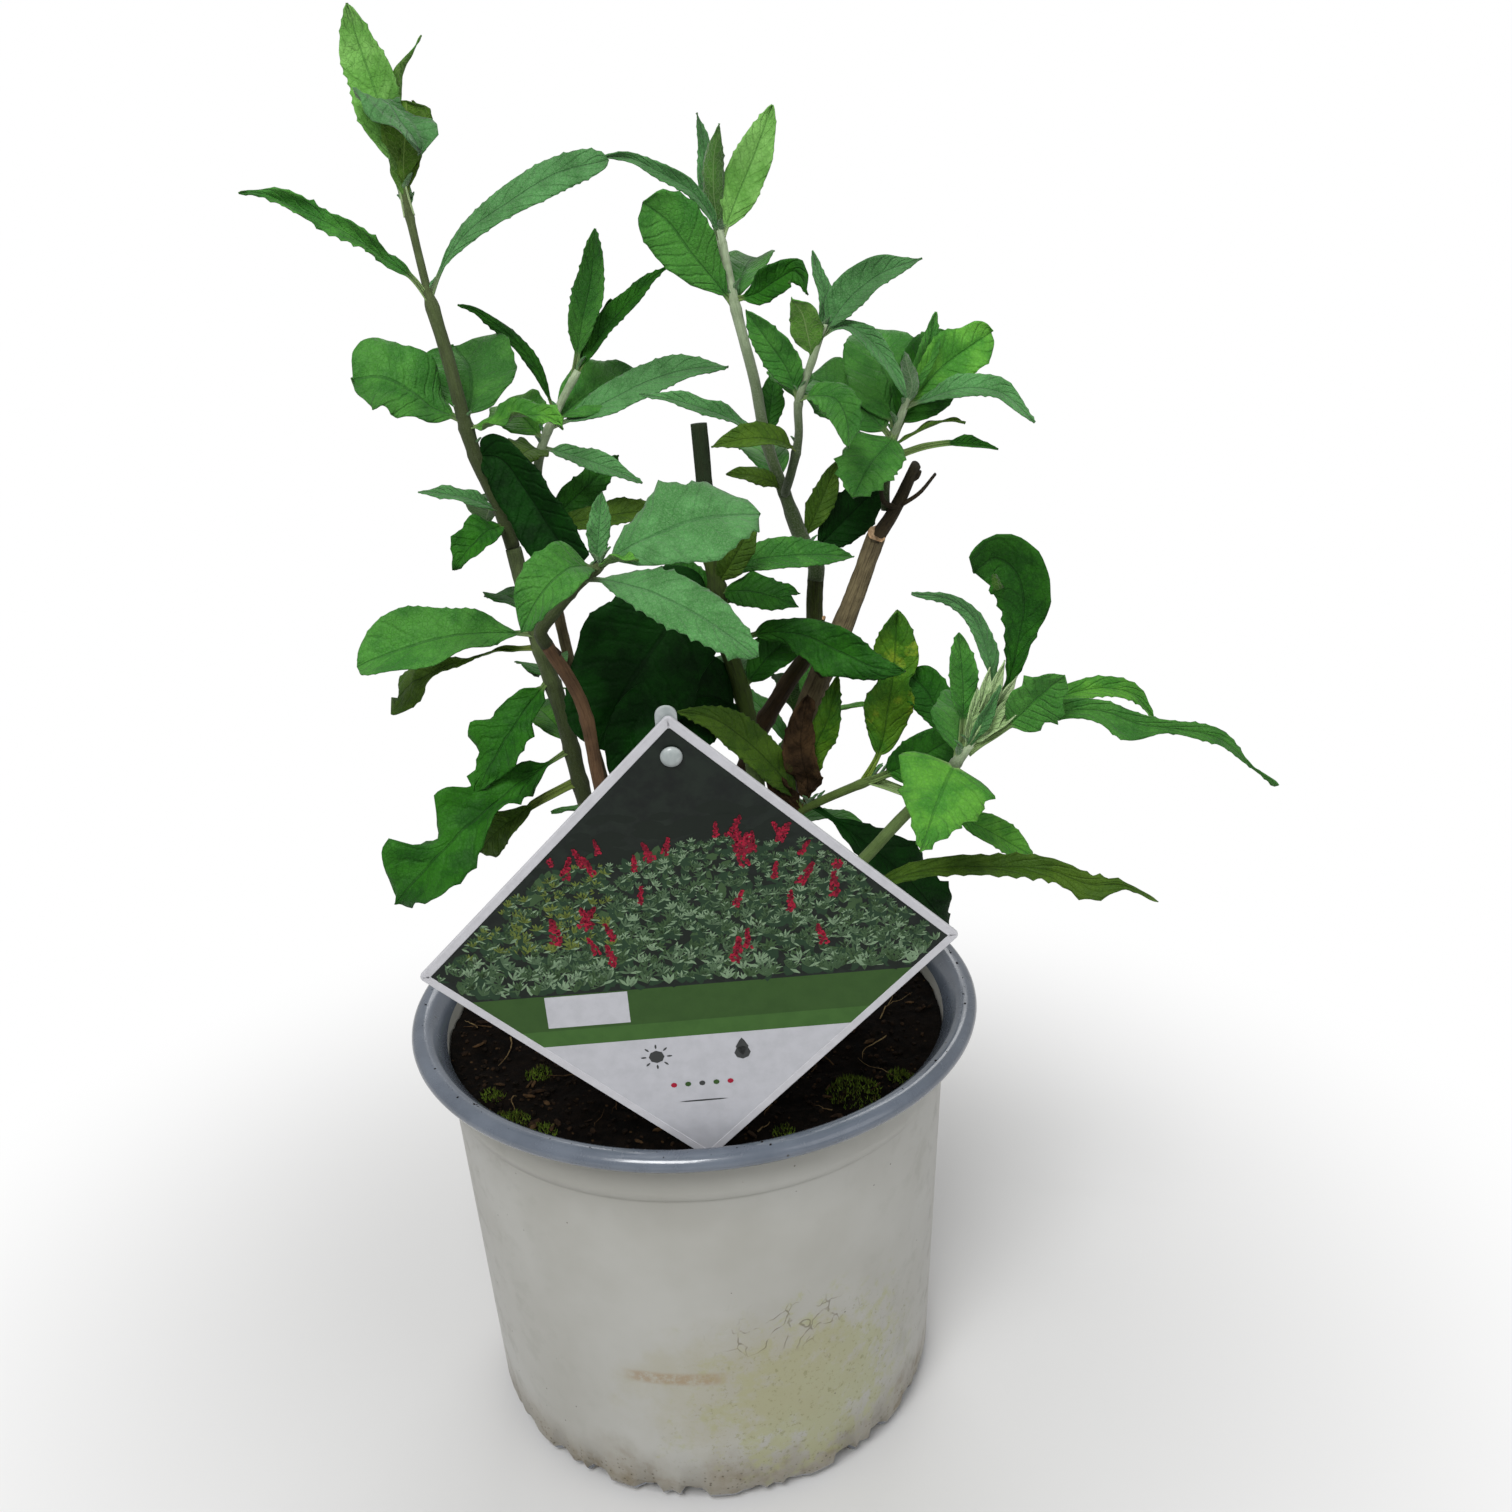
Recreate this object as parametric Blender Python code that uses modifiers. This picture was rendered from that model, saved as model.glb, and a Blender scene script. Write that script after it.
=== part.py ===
"""A young butterfly bush in its round nursery pot, with a plant label standing in front.

Metres, +Z up. The origin is the middle of the pot's flat underside, and the label faces -Y.
The plant is a clump of stems. The bare lower stems are limbs of their own, and each leafy
shoot is one solid: a stem, its side twigs and its leaves, joined together.
Heights and reaches of the plant's own parts are written in millimetres.
"""
import math
import random
from typing import NamedTuple

import bmesh
import bpy
from mathutils import Vector
from mathutils.bvhtree import BVHTree

MM = 0.001
GAP = 0.0003
MERGE = 0.00005

# The pot: a tapering wall with a rolled lip, and a rounded lower corner with shallow notches
POT_BASE_RADIUS = 0.0700
POT_FOOT_RADIUS = 0.0775
POT_STEP_RADIUS = 0.0838
POT_NECK_RADIUS = 0.0853
LIP_INNER_RADIUS = 0.0875
LIP_OUTER_RADIUS = 0.0950
POT_HEIGHT = 0.1495
POT_STEP_HEIGHT = 0.127
POT_WALL = 0.0016
POT_FLOOR = 0.0030
POT_STEPS = 48
NOTCHES = 14
NOTCH_RADIUS = 0.0030
NOTCH_DEPTH = 0.0009
NOTCH_HEIGHT = 0.016

# The soil fills the pot to a little under the lip
SOIL_TOP = 0.1390
STEM_FOOT = SOIL_TOP / MM + GAP / MM

# The label: a square plate on its corner, leaning forward, on a stake pushed into the soil
LABEL_SIDE = 0.1015
LABEL_THICKNESS = 0.0012
LABEL_CORNER = 0.0015
LABEL_CENTRE = (0.001, -0.091, 0.2115)
LABEL_LEAN = math.radians(7.5)
LABEL_ROLL = math.radians(-1.2)
STAKE_WIDTH = 0.0055
STAKE_THICKNESS = 0.0010
STAKE_ABOVE = 0.0038
STAKE_DEPTH = 0.040
STAKE_SHIFT = -0.0005
RIVET_RADIUS = 0.0028
RIVET_THICKNESS = 0.0011
RIVET_BELOW_CORNER = 0.0092

# Limbs and leaves
LIMB_SPACING = 0.012
RUN_ON = 4
TWIG_SPACING = 0.010
LEAF_THICKNESS = 0.0009
LEAF_ROWS = (0.0, 0.11, 0.30, 0.53, 0.78, 1.0)
LEAF_TIP_WIDTH = 0.07
LEAF_STALK_WIDTH = 0.16
LEAF_STALK_SHARE = 0.10
LEAF_FOLD = 0.22
LEAF_CLEARANCE = 0.0004
SEED = 7

# The way a blade's upper face looks
UP = (0, 0, 1)
FRONT = (0, -1, 0.1)
FRONT_UP = (0, -1, 1)
LEFT = (-1, 0, 0.1)
BACK_UP = (0, 1, 1)


class Leaf(NamedTuple):
    """A leaf, by the height where it leaves its stem and the way from there to its tip."""
    height: float
    reach: tuple
    width: float
    arch: float = 4
    faces: tuple = UP
    sweep: float = 0


class Shoot(NamedTuple):
    """A stem through a few points, its radius at both ends, and what grows on it."""
    route: tuple
    radii: tuple
    leaves: tuple = ()
    twigs: tuple = ()
    carries_on: str = ""


# Bare stems and limbs, from the soil up
LIMBS = {
    "left_stem": Shoot(
        ((-18, 0, STEM_FOOT), (-25, -2, 185), (-31, -2, 221)), (3.6, 3.0)),
    "front_left_stem": Shoot(
        ((-12, -14, STEM_FOOT), (-20, -26, 200), (-24, -33, 242), (-27, -39, 270), (-34, -44, 287)),
        (2.5, 1.7)),
    "back_left_stem": Shoot(
        ((-12, 13, STEM_FOOT), (-23, 21, 200), (-33, 26, 250), (-38, 28, 284)), (2.5, 1.9)),
    "centre_stem": Shoot(
        ((7, -6, STEM_FOOT), (18, -6, 190), (24, -4, 222), (23, -3, 236)), (3.4, 2.8)),
    "tall_stem": Shoot(
        ((6, 13, STEM_FOOT), (16, 16, 205), (26, 18, 234), (36, 19, 250), (45, 21, 263), (46.6, 21.8, 280),
         (47, 22, 284)),
        (3.4, 2.9)),
    "cut_stem": Shoot(
        ((20, 5, STEM_FOOT), (29, 6, 190), (35, 8, 224), (45, 10, 252), (56, 12, 275), (66, 14, 300)),
        (6.2, 2.9)),
    "cut_branch": Shoot(
        ((67.2, 16.8, 293), (71, 18, 303), (79, 18, 320)), (1.9, 1.7)),
    "dead_twig": Shoot(
        ((76.6, 17, 309), (80, 16.5, 312), (86, 17, 318)), (0.7, 0.5)),
    "front_right_stem": Shoot(
        ((14, -16, STEM_FOOT), (35, -21, 184), (55, -34, 211), (66, -39, 226), (76, -43, 238)),
        (2.4, 1.8)),
}


def up_and_around(heights, lengths, first_heading, rise, slenderness, draw):
    """Opposite pairs of leaves, each pair a quarter turn on from the pair below."""
    leaves = []
    for step, height in enumerate(heights):
        share = step / max(len(heights) - 1, 1)
        length = lengths[0] + (lengths[1] - lengths[0]) * share
        for side in (0, 180):
            heading = math.radians(first_heading + 90 * step + side + draw.uniform(-14, 14))
            lift = math.radians(rise[0] + (rise[1] - rise[0]) * share + draw.uniform(-7, 7))
            span = length * draw.uniform(0.85, 1.1)
            reach = (span * math.cos(lift) * math.cos(heading),
                     span * math.cos(lift) * math.sin(heading), span * math.sin(lift))
            leaves.append(Leaf(height, reach, span * slenderness, span * 0.12))
    return tuple(leaves)


def leafy_shoots(draw):
    """Every leafy shoot. The two at the back grow by rule, and fill the side nobody sees."""
    side_twig = Shoot(
        ((38, 21, 313), (40, 13, 322), (42, 8, 333), (42, 5, 343), (46, 2, 355), (50, 0, 366)),
        (1.8, 1.1),
        (Leaf(364, (-4, 2, 22), 6, 1, FRONT), Leaf(362, (27, -6, 21), 9, 4, FRONT_UP),
         Leaf(358, (-10, -8, 16), 12, 3, FRONT), Leaf(363, (21, -14, -18), 7, 6, FRONT_UP),
         Leaf(344, (14, -22, -10), 13, 10, FRONT_UP), Leaf(344, (-17, -8, 28), 13, 2, FRONT),
         Leaf(328, (-26, -14, 5), 10, 5, FRONT_UP), Leaf(343, (-4, 20, 5), 13, 4)))
    return {
        "left_shoot_low": Shoot(
            ((-36, -2, 253), (-41, -2, 276), (-46, 0, 305)), (3.0, 2.6),
            (Leaf(278, (-50, -16, 0), 20, 8, FRONT_UP), Leaf(274, (-44, 6, -20), 10, 11, FRONT_UP),
             Leaf(284, (-15, 22, 1), 13, 3), Leaf(264, (-24, -16, -30), 18, 4, FRONT_UP),
             Leaf(240, (-55, -30, -36), 20, 9, FRONT_UP), Leaf(229, (-34, -6, -20), 13, 6, FRONT_UP),
             Leaf(262, (-24, 32, -8), 17, 5), Leaf(240, (-20, 34, 4), 18, 5)),
            carries_on="left_stem"),
        "left_shoot_top": Shoot(
            ((-55, 2, 335), (-60, 4, 363), (-63, 5, 378), (-68, 9, 412)), (2.6, 1.2),
            (Leaf(333, (28, -16, -24), 23, 4, FRONT), Leaf(341, (31, -16, 4), 14, 8, FRONT_UP),
             Leaf(344, (-28, -4, 18), 23, 8, FRONT_UP), Leaf(343, (3, 24, 20), 19, 4, FRONT_UP),
             Leaf(316, (-23, -4, 8), 8, 3, FRONT_UP), Leaf(312, (-14, -14, -3), 12, 5, FRONT_UP),
             Leaf(314, (-10, 30, -8), 16, 5), Leaf(378, (-49, -6, 30), 9, 3, FRONT_UP),
             Leaf(378, (54, -4, 36), 14, 8, FRONT_UP), Leaf(408, (-9, 6, 47), 14, 2, FRONT),
             Leaf(407, (8, 10, 38), 7, 2, LEFT), Leaf(405, (-3, -15, 10), 15, 26),
             Leaf(410, (1, 2, 19), 5, 1, FRONT)),
            carries_on="left_shoot_low"),
        "front_left_shoot": Shoot(
            ((-31, -46, 297), (-24, -49, 305), (-17, -52, 311)), (1.7, 1.2),
            (Leaf(310, (43, 6, 12), 25, 8, FRONT_UP), Leaf(310, (-20, -16, -12), 15, 11, FRONT_UP),
             Leaf(307, (45, -22, -18), 15, 10, FRONT_UP), Leaf(310, (3, 4, 20), 6, 1, FRONT),
             Leaf(310, (12, -10, 4), 5, 1), Leaf(303, (-9, 24, -6), 14, 4)),
            carries_on="front_left_stem"),
        "back_left_shoot": Shoot(
            ((-40, 28, 305), (-38, 28, 328), (-31, 28, 342), (-24, 28, 353)), (1.9, 1.1),
            (Leaf(351, (9, -2, 42), 10, 1, FRONT), Leaf(351, (31, 2, 30), 7, 2, FRONT_UP),
             Leaf(351, (13, 6, 22), 4, 1, FRONT_UP), Leaf(340, (-28, -6, 36), 6, 3, FRONT_UP),
             Leaf(336, (58, 4, 16), 17, 8, FRONT_UP), Leaf(332, (-14, 18, 9), 18, 4, FRONT_UP),
             Leaf(337, (29, 20, 12), 20, 4, FRONT_UP), Leaf(330, (31, -14, -10), 8, 2, FRONT_UP),
             Leaf(329, (-8, -18, -2), 12, 3, FRONT_UP), Leaf(304, (26, 14, 20), 10, 2, FRONT),
             Leaf(304, (44, -6, 6), 9, 2, FRONT_UP), Leaf(304, (-24, 22, 6), 16, 5)),
            carries_on="back_left_stem"),
        "centre_shoot": Shoot(
            ((21, -2, 255), (17, -2, 272), (14, 0, 298), (12, 2, 339)), (2.8, 2.6),
            (Leaf(256, (24, 12, 18), 13, 6, FRONT_UP), Leaf(272, (49, -22, -6), 18, 12, FRONT_UP),
             Leaf(291, (57, 31, 1), 13, 7, FRONT_UP), Leaf(288, (24, -10, -3), 12, 4, FRONT_UP),
             Leaf(284, (25, 2, 2), 7, 5, FRONT_UP), Leaf(290, (13, -6, 22), 9, 2, FRONT),
             Leaf(282, (-47, -16, -20), 34, 5, FRONT_UP), Leaf(249, (-42, -24, -18), 28, 4, FRONT_UP),
             Leaf(287, (-18, 14, 5), 11, 3, FRONT_UP), Leaf(298, (12, 20, -2), 10, 3, FRONT_UP),
             Leaf(254, (-12, 26, 4), 18, 5)),
            carries_on="centre_stem"),
        "tall_shoot": Shoot(
            ((43, 22, 298), (38, 22, 313), (33, 22, 329), (30, 22, 348), (26, 22, 366), (21, 22, 393)),
            (2.9, 1.6),
            (Leaf(391, (-5, 8, 33), 6, 1, LEFT), Leaf(391, (2, -8, 30), 8, 1, FRONT),
             Leaf(389, (17, 4, 36), 11, 2, FRONT), Leaf(387, (-32, -14, 25), 7, 8, FRONT_UP),
             Leaf(370, (-26, -14, 32), 16, 2, FRONT), Leaf(372, (20, -12, 6), 11, 5, BACK_UP),
             Leaf(330, (-38, -10, 17), 7, 4, FRONT_UP), Leaf(330, (4, 9, 19), 8, 1, FRONT),
             Leaf(314, (-18, -6, 7), 6, 3, FRONT_UP), Leaf(297, (12, 6, 24), 8, 2, FRONT),
             Leaf(293, (26, 15, 20), 15, 2, FRONT), Leaf(370, (10, 30, 12), 15, 5),
             Leaf(315, (-12, 28, 8), 16, 5)),
            (side_twig,), "tall_stem"),
        "right_back_shoot": Shoot(
            ((69.8, 21, 306), (70, 21, 314), (72, 20, 327), (77, 18, 342)), (1.4, 1.0),
            (Leaf(340, (9, 6, 28), 8, 1, FRONT), Leaf(337, (-1, -6, 22), 7, 1, FRONT),
             Leaf(338, (28, 8, 22), 17, 3, FRONT), Leaf(338, (38, -12, -4), 9, 9, FRONT_UP),
             Leaf(331, (-17, -20, -14), 19, 6, FRONT_UP), Leaf(328, (23, 4, 6), 3, 2),
             Leaf(324, (34, 0, 2), 4, 2, FRONT_UP), Leaf(328, (-26, 20, 18), 24, 6, FRONT_UP),
             Leaf(330, (-4, 26, 30), 26, 4, FRONT_UP), Leaf(330, (20, 24, 28), 20, 4, FRONT))),
        "front_right_shoot": Shoot(
            ((81, -45, 245), (85, -46, 251)), (1.8, 1.5),
            (Leaf(247, (-1, 2, 38), 11, 1, FRONT), Leaf(248, (-17, -6, 50), 7, 2, FRONT, 13),
             Leaf(249, (6, -4, 62), 22, 3, FRONT, 10), Leaf(249, (25, -12, 24), 14, 4, FRONT_UP),
             Leaf(249, (55, 6, 9), 9, 12, FRONT_UP), Leaf(249, (83, -22, -8), 11, 17),
             Leaf(245, (-14, -26, -17), 25, 9, FRONT_UP), Leaf(249, (13, 2, 19), 5, 1, FRONT),
             Leaf(245, (8, 28, 12), 16, 5)),
            carries_on="front_right_stem"),
        "right_low_shoot": Shoot(
            ((35.8, 2.7, 211), (46, -5, 219), (58, -8, 225), (70, -10, 230), (84, -12, 236.5)),
            (1.5, 1.1),
            (Leaf(225, (12, 6, 55), 16, 3, FRONT, -1), Leaf(226, (50, -14, -24), 10, 4, FRONT_UP),
             Leaf(236, (-12, 8, 25), 14, 3, FRONT, 4), Leaf(214, (-33, -31, 33), 12, 3, FRONT_UP),
             Leaf(214, (15, -4, 34), 9, 2, FRONT, 3), Leaf(216, (46, 12, -50), 17, 11, FRONT_UP),
             Leaf(235, (20, 20, 8), 14, 4))),
        "low_right_shoot": Shoot(
            ((23, -9, STEM_FOOT), (33, -13, 166), (42, -20, 183), (49, -25, 195)), (2.0, 1.2),
            (Leaf(194, (96, -16, -1), 10, 9), Leaf(178, (24, 8, 4), 16, 6, FRONT_UP),
             Leaf(168, (28, 26, 2), 15, 4))),
        "back_shoot": Shoot(
            ((-3, 22, STEM_FOOT), (-10, 36, 178), (-15, 46, 208), (-16, 52, 236)), (2.2, 1.2),
            up_and_around((172, 190, 207, 222, 234), (46, 32), 100, (6, 46), 0.30, draw)),
        "back_right_shoot": Shoot(
            ((13, 26, STEM_FOOT), (26, 40, 175), (36, 52, 202), (42, 60, 226)), (2.2, 1.2),
            up_and_around((168, 185, 200, 213, 224), (44, 30), 60, (6, 46), 0.30, draw)),
    }


def carried_on(shoot, below):
    """The shoot's route begun just clear of the tip of the stem below, and in line with it."""
    last, tip = (Vector(point) for point in below.route[-2:])
    onward = (tip - last).normalized()
    start = [tuple(tip + onward * step) for step in (GAP / MM, RUN_ON)]
    return shoot._replace(route=(*start, *shoot.route))


def clear_scene():
    for old in list(bpy.data.objects):
        bpy.data.objects.remove(old, do_unlink=True)


def collection(name):
    made = bpy.data.collections.new(name)
    bpy.context.scene.collection.children.link(made)
    return made


def material(name, colour, roughness, metallic=0.0):
    made = bpy.data.materials.new(name)
    made.use_nodes = True
    shader = made.node_tree.nodes["Principled BSDF"]
    shader.inputs["Base Color"].default_value = (*colour, 1.0)
    shader.inputs["Roughness"].default_value = roughness
    shader.inputs["Metallic"].default_value = metallic
    return made


def new_object(name, data, home, finish=None):
    made = bpy.data.objects.new(name, data)
    home.objects.link(made)
    if finish:
        data.materials.append(finish)
    return made


def evaluated_mesh(source):
    """A plain mesh of the object with its modifiers applied, in the object's own frame."""
    bpy.context.view_layer.update()
    depsgraph = bpy.context.evaluated_depsgraph_get()
    return bpy.data.meshes.new_from_object(source.evaluated_get(depsgraph))


def applied(source):
    """Swaps the object's mesh for the evaluated one and drops its modifiers."""
    mesh = evaluated_mesh(source)
    source.modifiers.clear()
    source.data = mesh
    return source


def turned(name, profile, home, finish):
    """A profile of (radius, height) points, from the top outside downwards, turned round Z."""
    mesh = bpy.data.meshes.new(name)
    shape = bmesh.new()
    points = [shape.verts.new((radius, 0, height)) for radius, height in profile]
    for first, second in zip(points, points[1:]):
        shape.edges.new((first, second))
    shape.to_mesh(mesh)
    shape.free()
    made = new_object(name, mesh, home, finish)
    screw = made.modifiers.new("turn", "SCREW")
    screw.steps = POT_STEPS
    screw.render_steps = POT_STEPS
    screw.use_merge_vertices = True
    screw.merge_threshold = MERGE
    return made


def subtract(target, cutter):
    cut = target.modifiers.new("cut", "BOOLEAN")
    cut.operation = "DIFFERENCE"
    cut.object = cutter
    cutter.hide_render = True
    cutter.display_type = "WIRE"


def corner_arc(centre, radius, start, end, count):
    """Points on an arc between two angles in degrees."""
    angles = [math.radians(start + (end - start) * i / (count - 1)) for i in range(count)]
    return [(centre[0] + radius * math.cos(a), centre[1] + radius * math.sin(a)) for a in angles]


def inner_radius(height):
    """The pot's inner wall at a height under the step."""
    share = height / POT_STEP_HEIGHT
    return POT_FOOT_RADIUS + (POT_STEP_RADIUS - POT_FOOT_RADIUS) * share - POT_WALL


def make_pot(home, cutters):
    corner = POT_FOOT_RADIUS - POT_BASE_RADIUS
    lip_middle = (LIP_INNER_RADIUS + LIP_OUTER_RADIUS) / 2
    lip_half = (LIP_OUTER_RADIUS - LIP_INNER_RADIUS) / 2
    lip_low = POT_HEIGHT - 0.0047
    profile = [(lip_middle, POT_HEIGHT)]
    profile += corner_arc((lip_middle, POT_HEIGHT - lip_half * 0.8), lip_half, 60, -20, 4)
    profile += [(LIP_OUTER_RADIUS - 0.0012, lip_low), (POT_NECK_RADIUS + 0.0020, lip_low + 0.0004),
                (POT_NECK_RADIUS, lip_low - 0.0025), (POT_NECK_RADIUS - 0.0004, POT_STEP_HEIGHT + 0.0020),
                (POT_STEP_RADIUS, POT_STEP_HEIGHT)]
    profile += corner_arc((POT_BASE_RADIUS, corner), corner, 0, -90, 5)
    profile += [(0, 0)]
    inside = [(0, POT_FLOOR), (POT_BASE_RADIUS - POT_WALL, POT_FLOOR), (inner_radius(corner), corner),
              (POT_STEP_RADIUS - POT_WALL, POT_STEP_HEIGHT),
              (POT_NECK_RADIUS - POT_WALL, POT_STEP_HEIGHT + 0.0020),
              (POT_NECK_RADIUS - POT_WALL, lip_low - 0.0020), (LIP_INNER_RADIUS, POT_HEIGHT - 0.0012)]
    plastic = material("pot_plastic", (0.78, 0.77, 0.73), 0.45)
    pot = turned("pot", profile + inside + [(lip_middle, POT_HEIGHT)], home, plastic)
    for index in range(NOTCHES):
        angle = 2 * math.pi * (index + 0.5) / NOTCHES
        reach = POT_FOOT_RADIUS + NOTCH_RADIUS - NOTCH_DEPTH
        shape = bmesh.new()
        bmesh.ops.create_cone(shape, cap_ends=True, segments=8, radius1=NOTCH_RADIUS,
                              radius2=NOTCH_RADIUS, depth=NOTCH_HEIGHT)
        mesh = bpy.data.meshes.new(f"notch_{index}")
        shape.to_mesh(mesh)
        shape.free()
        notch = new_object(f"notch_{index}", mesh, cutters)
        notch.location = (reach * math.cos(angle), reach * math.sin(angle), 0)
        subtract(pot, notch)
    return applied(pot)


def make_soil(home, cutters):
    low = POT_FLOOR + GAP
    base = POT_BASE_RADIUS - POT_WALL - GAP
    wide = POT_STEP_RADIUS - POT_WALL - GAP
    profile = [(0, SOIL_TOP), (POT_NECK_RADIUS - POT_WALL - GAP - 0.0002, SOIL_TOP),
               (POT_NECK_RADIUS - POT_WALL - GAP - 0.0002, POT_STEP_HEIGHT + 0.0022),
               (wide, POT_STEP_HEIGHT), (inner_radius(0.0076) - GAP, 0.0078), (base, low), (0, low)]
    soil = turned("soil", profile, home, material("soil", (0.035, 0.022, 0.014), 0.95))
    slot = label_bar("stake_slot", STAKE_WIDTH + 2 * GAP, STAKE_THICKNESS + 2 * GAP, GAP, cutters)
    subtract(soil, slot)
    return applied(soil)


def on_label(shape, along, behind):
    """Moves a mesh made flat and upright at the origin to its place on the leaning label."""
    for vertex in shape.verts:
        x, y, z = vertex.co
        vertex.co = label_point(x, y + behind, z + along)


def label_point(x, y, z):
    """A point by its place on the upright label, turned and leant as the label is."""
    c, s = math.cos(LABEL_ROLL), math.sin(LABEL_ROLL)
    x, z = x * c + z * s, z * c - x * s
    c, s = math.cos(LABEL_LEAN), math.sin(LABEL_LEAN)
    y, z = y * c - z * s, z * c + y * s
    return Vector(LABEL_CENTRE) + Vector((x, y, z))


def label_bar(name, width, thickness, longer, home, finish=None):
    """The stake's bar, from its round head above the top corner down into the soil."""
    half_diagonal = LABEL_SIDE / math.sqrt(2)
    top, bottom = half_diagonal + STAKE_ABOVE, -half_diagonal - STAKE_DEPTH - longer
    shape = bmesh.new()
    bmesh.ops.create_cube(shape, size=1.0)
    bmesh.ops.scale(shape, vec=(width, thickness, top - bottom), verts=shape.verts)
    ends = [edge for edge in shape.edges
            if abs(edge.verts[0].co.y - edge.verts[1].co.y) > thickness / 2 and edge.verts[0].co.z > 0]
    bmesh.ops.bevel(shape, geom=ends, offset=width * 0.45, segments=3, profile=0.5, affect="EDGES",
                    material=-1)
    behind = LABEL_THICKNESS / 2 + GAP + STAKE_THICKNESS / 2
    for vertex in shape.verts:
        vertex.co.x += STAKE_SHIFT
    on_label(shape, (top + bottom) / 2, behind)
    mesh = bpy.data.meshes.new(name)
    shape.to_mesh(mesh)
    shape.free()
    return new_object(name, mesh, home, finish)


def make_label(home):
    plate_finish = material("label_plastic", (0.72, 0.73, 0.74), 0.3)
    clear_finish = material("label_clear", (0.62, 0.66, 0.66), 0.25)
    shape = bmesh.new()
    bmesh.ops.create_cube(shape, size=1.0)
    bmesh.ops.scale(shape, vec=(LABEL_SIDE, LABEL_THICKNESS, LABEL_SIDE), verts=shape.verts)
    corners = [edge for edge in shape.edges
               if abs(edge.verts[0].co.y - edge.verts[1].co.y) > LABEL_THICKNESS / 2]
    bmesh.ops.bevel(shape, geom=corners, offset=LABEL_CORNER, segments=3, profile=0.5, affect="EDGES",
                    material=-1)
    quarter = math.radians(45)
    for vertex in shape.verts:
        x, z = vertex.co.x, vertex.co.z
        vertex.co.x = x * math.cos(quarter) - z * math.sin(quarter)
        vertex.co.z = x * math.sin(quarter) + z * math.cos(quarter)
    on_label(shape, 0.0, 0.0)
    mesh = bpy.data.meshes.new("label_plate")
    shape.to_mesh(mesh)
    shape.free()
    new_object("label_plate", mesh, home, plate_finish)
    label_bar("label_stake", STAKE_WIDTH, STAKE_THICKNESS, 0.0, home, clear_finish)

    shape = bmesh.new()
    bmesh.ops.create_cone(shape, cap_ends=True, segments=20, radius1=RIVET_RADIUS,
                          radius2=RIVET_RADIUS * 0.8, depth=RIVET_THICKNESS)
    for vertex in shape.verts:
        x, y, z = vertex.co
        vertex.co = (x, -z, y)
    front = -(LABEL_THICKNESS / 2 + GAP + RIVET_THICKNESS / 2)
    on_label(shape, LABEL_SIDE / math.sqrt(2) - RIVET_BELOW_CORNER, front)
    mesh = bpy.data.meshes.new("label_rivet")
    shape.to_mesh(mesh)
    shape.free()
    new_object("label_rivet", mesh, home, clear_finish)


def smooth_route(route, spacing):
    """Evenly spread points, in metres, on a smooth curve through the route's points."""
    points = [Vector(point) * MM for point in route]
    gaps = [(end - start).length for start, end in zip(points, points[1:])]
    slopes = [(end - start) / gap for start, end, gap in zip(points, points[1:], gaps)]
    headings = [slopes[0]]
    for index in range(1, len(slopes)):
        before, after = gaps[index - 1], gaps[index]
        headings.append((slopes[index - 1] * after + slopes[index] * before) / (before + after))
    headings.append(slopes[-1])
    spread = []
    for index, gap in enumerate(gaps):
        count = max(2, round(gap / spacing))
        for step in range(count):
            t = step / count
            spread.append(points[index] * (2 * t ** 3 - 3 * t ** 2 + 1)
                          + points[index + 1] * (3 * t ** 2 - 2 * t ** 3)
                          + headings[index] * gap * (t ** 3 - 2 * t ** 2 + t)
                          + headings[index + 1] * gap * (t ** 3 - t ** 2))
    return spread + [points[-1]]


def flatten_foot(shape, foot, direction):
    """Brings the first ring of a leaning stem level with the soil."""
    for vertex in shape.verts:
        if (vertex.co - foot).dot(direction.normalized()) < MERGE:
            vertex.co.z = foot.z


def tube(name, shoot, spacing, home, finish):
    """A tapering limb as a mesh: a bevelled curve whose end caps are welded on."""
    points = smooth_route(shoot.route, spacing)
    curve = bpy.data.curves.new(name, "CURVE")
    curve.dimensions = "3D"
    curve.bevel_depth = MM
    curve.bevel_resolution = 2
    curve.use_fill_caps = True
    spline = curve.splines.new("POLY")
    spline.points.add(len(points) - 1)
    for index, (place, point) in enumerate(zip(points, spline.points)):
        share = index / (len(points) - 1)
        point.co = (*place, 1.0)
        point.radius = shoot.radii[0] + (shoot.radii[1] - shoot.radii[0]) * share
    guide = bpy.data.objects.new(name + "_curve", curve)
    home.objects.link(guide)
    mesh = evaluated_mesh(guide)
    bpy.data.objects.remove(guide, do_unlink=True)
    shape = bmesh.new()
    shape.from_mesh(mesh)
    bmesh.ops.remove_doubles(shape, verts=shape.verts, dist=MERGE / 5)
    if shoot.route[0][2] == STEM_FOOT:
        flatten_foot(shape, points[0], points[1] - points[0])
    bmesh.ops.recalc_face_normals(shape, faces=shape.faces)
    shape.to_mesh(mesh)
    shape.free()
    mesh.materials.clear()
    return new_object(name, mesh, home, finish)


def stem_point(route, height):
    """Where the stem's middle line is at a height in metres."""
    for low, high in zip(route, route[1:]):
        if low.z <= height <= high.z:
            return low.lerp(high, (height - low.z) / (high.z - low.z))
    return route[-1].copy()


def leaf_width(share):
    """Half the blade's width along the leaf, as a share of half its full width."""
    if share <= LEAF_STALK_SHARE:
        return LEAF_STALK_WIDTH
    along = (share - LEAF_STALK_SHARE) / (1 - LEAF_STALK_SHARE)
    blade = 2.08 * along ** 0.75 * (1 - along) ** 0.85
    return max(LEAF_TIP_WIDTH, LEAF_STALK_WIDTH * (1 - along), min(1.0, blade))


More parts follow.
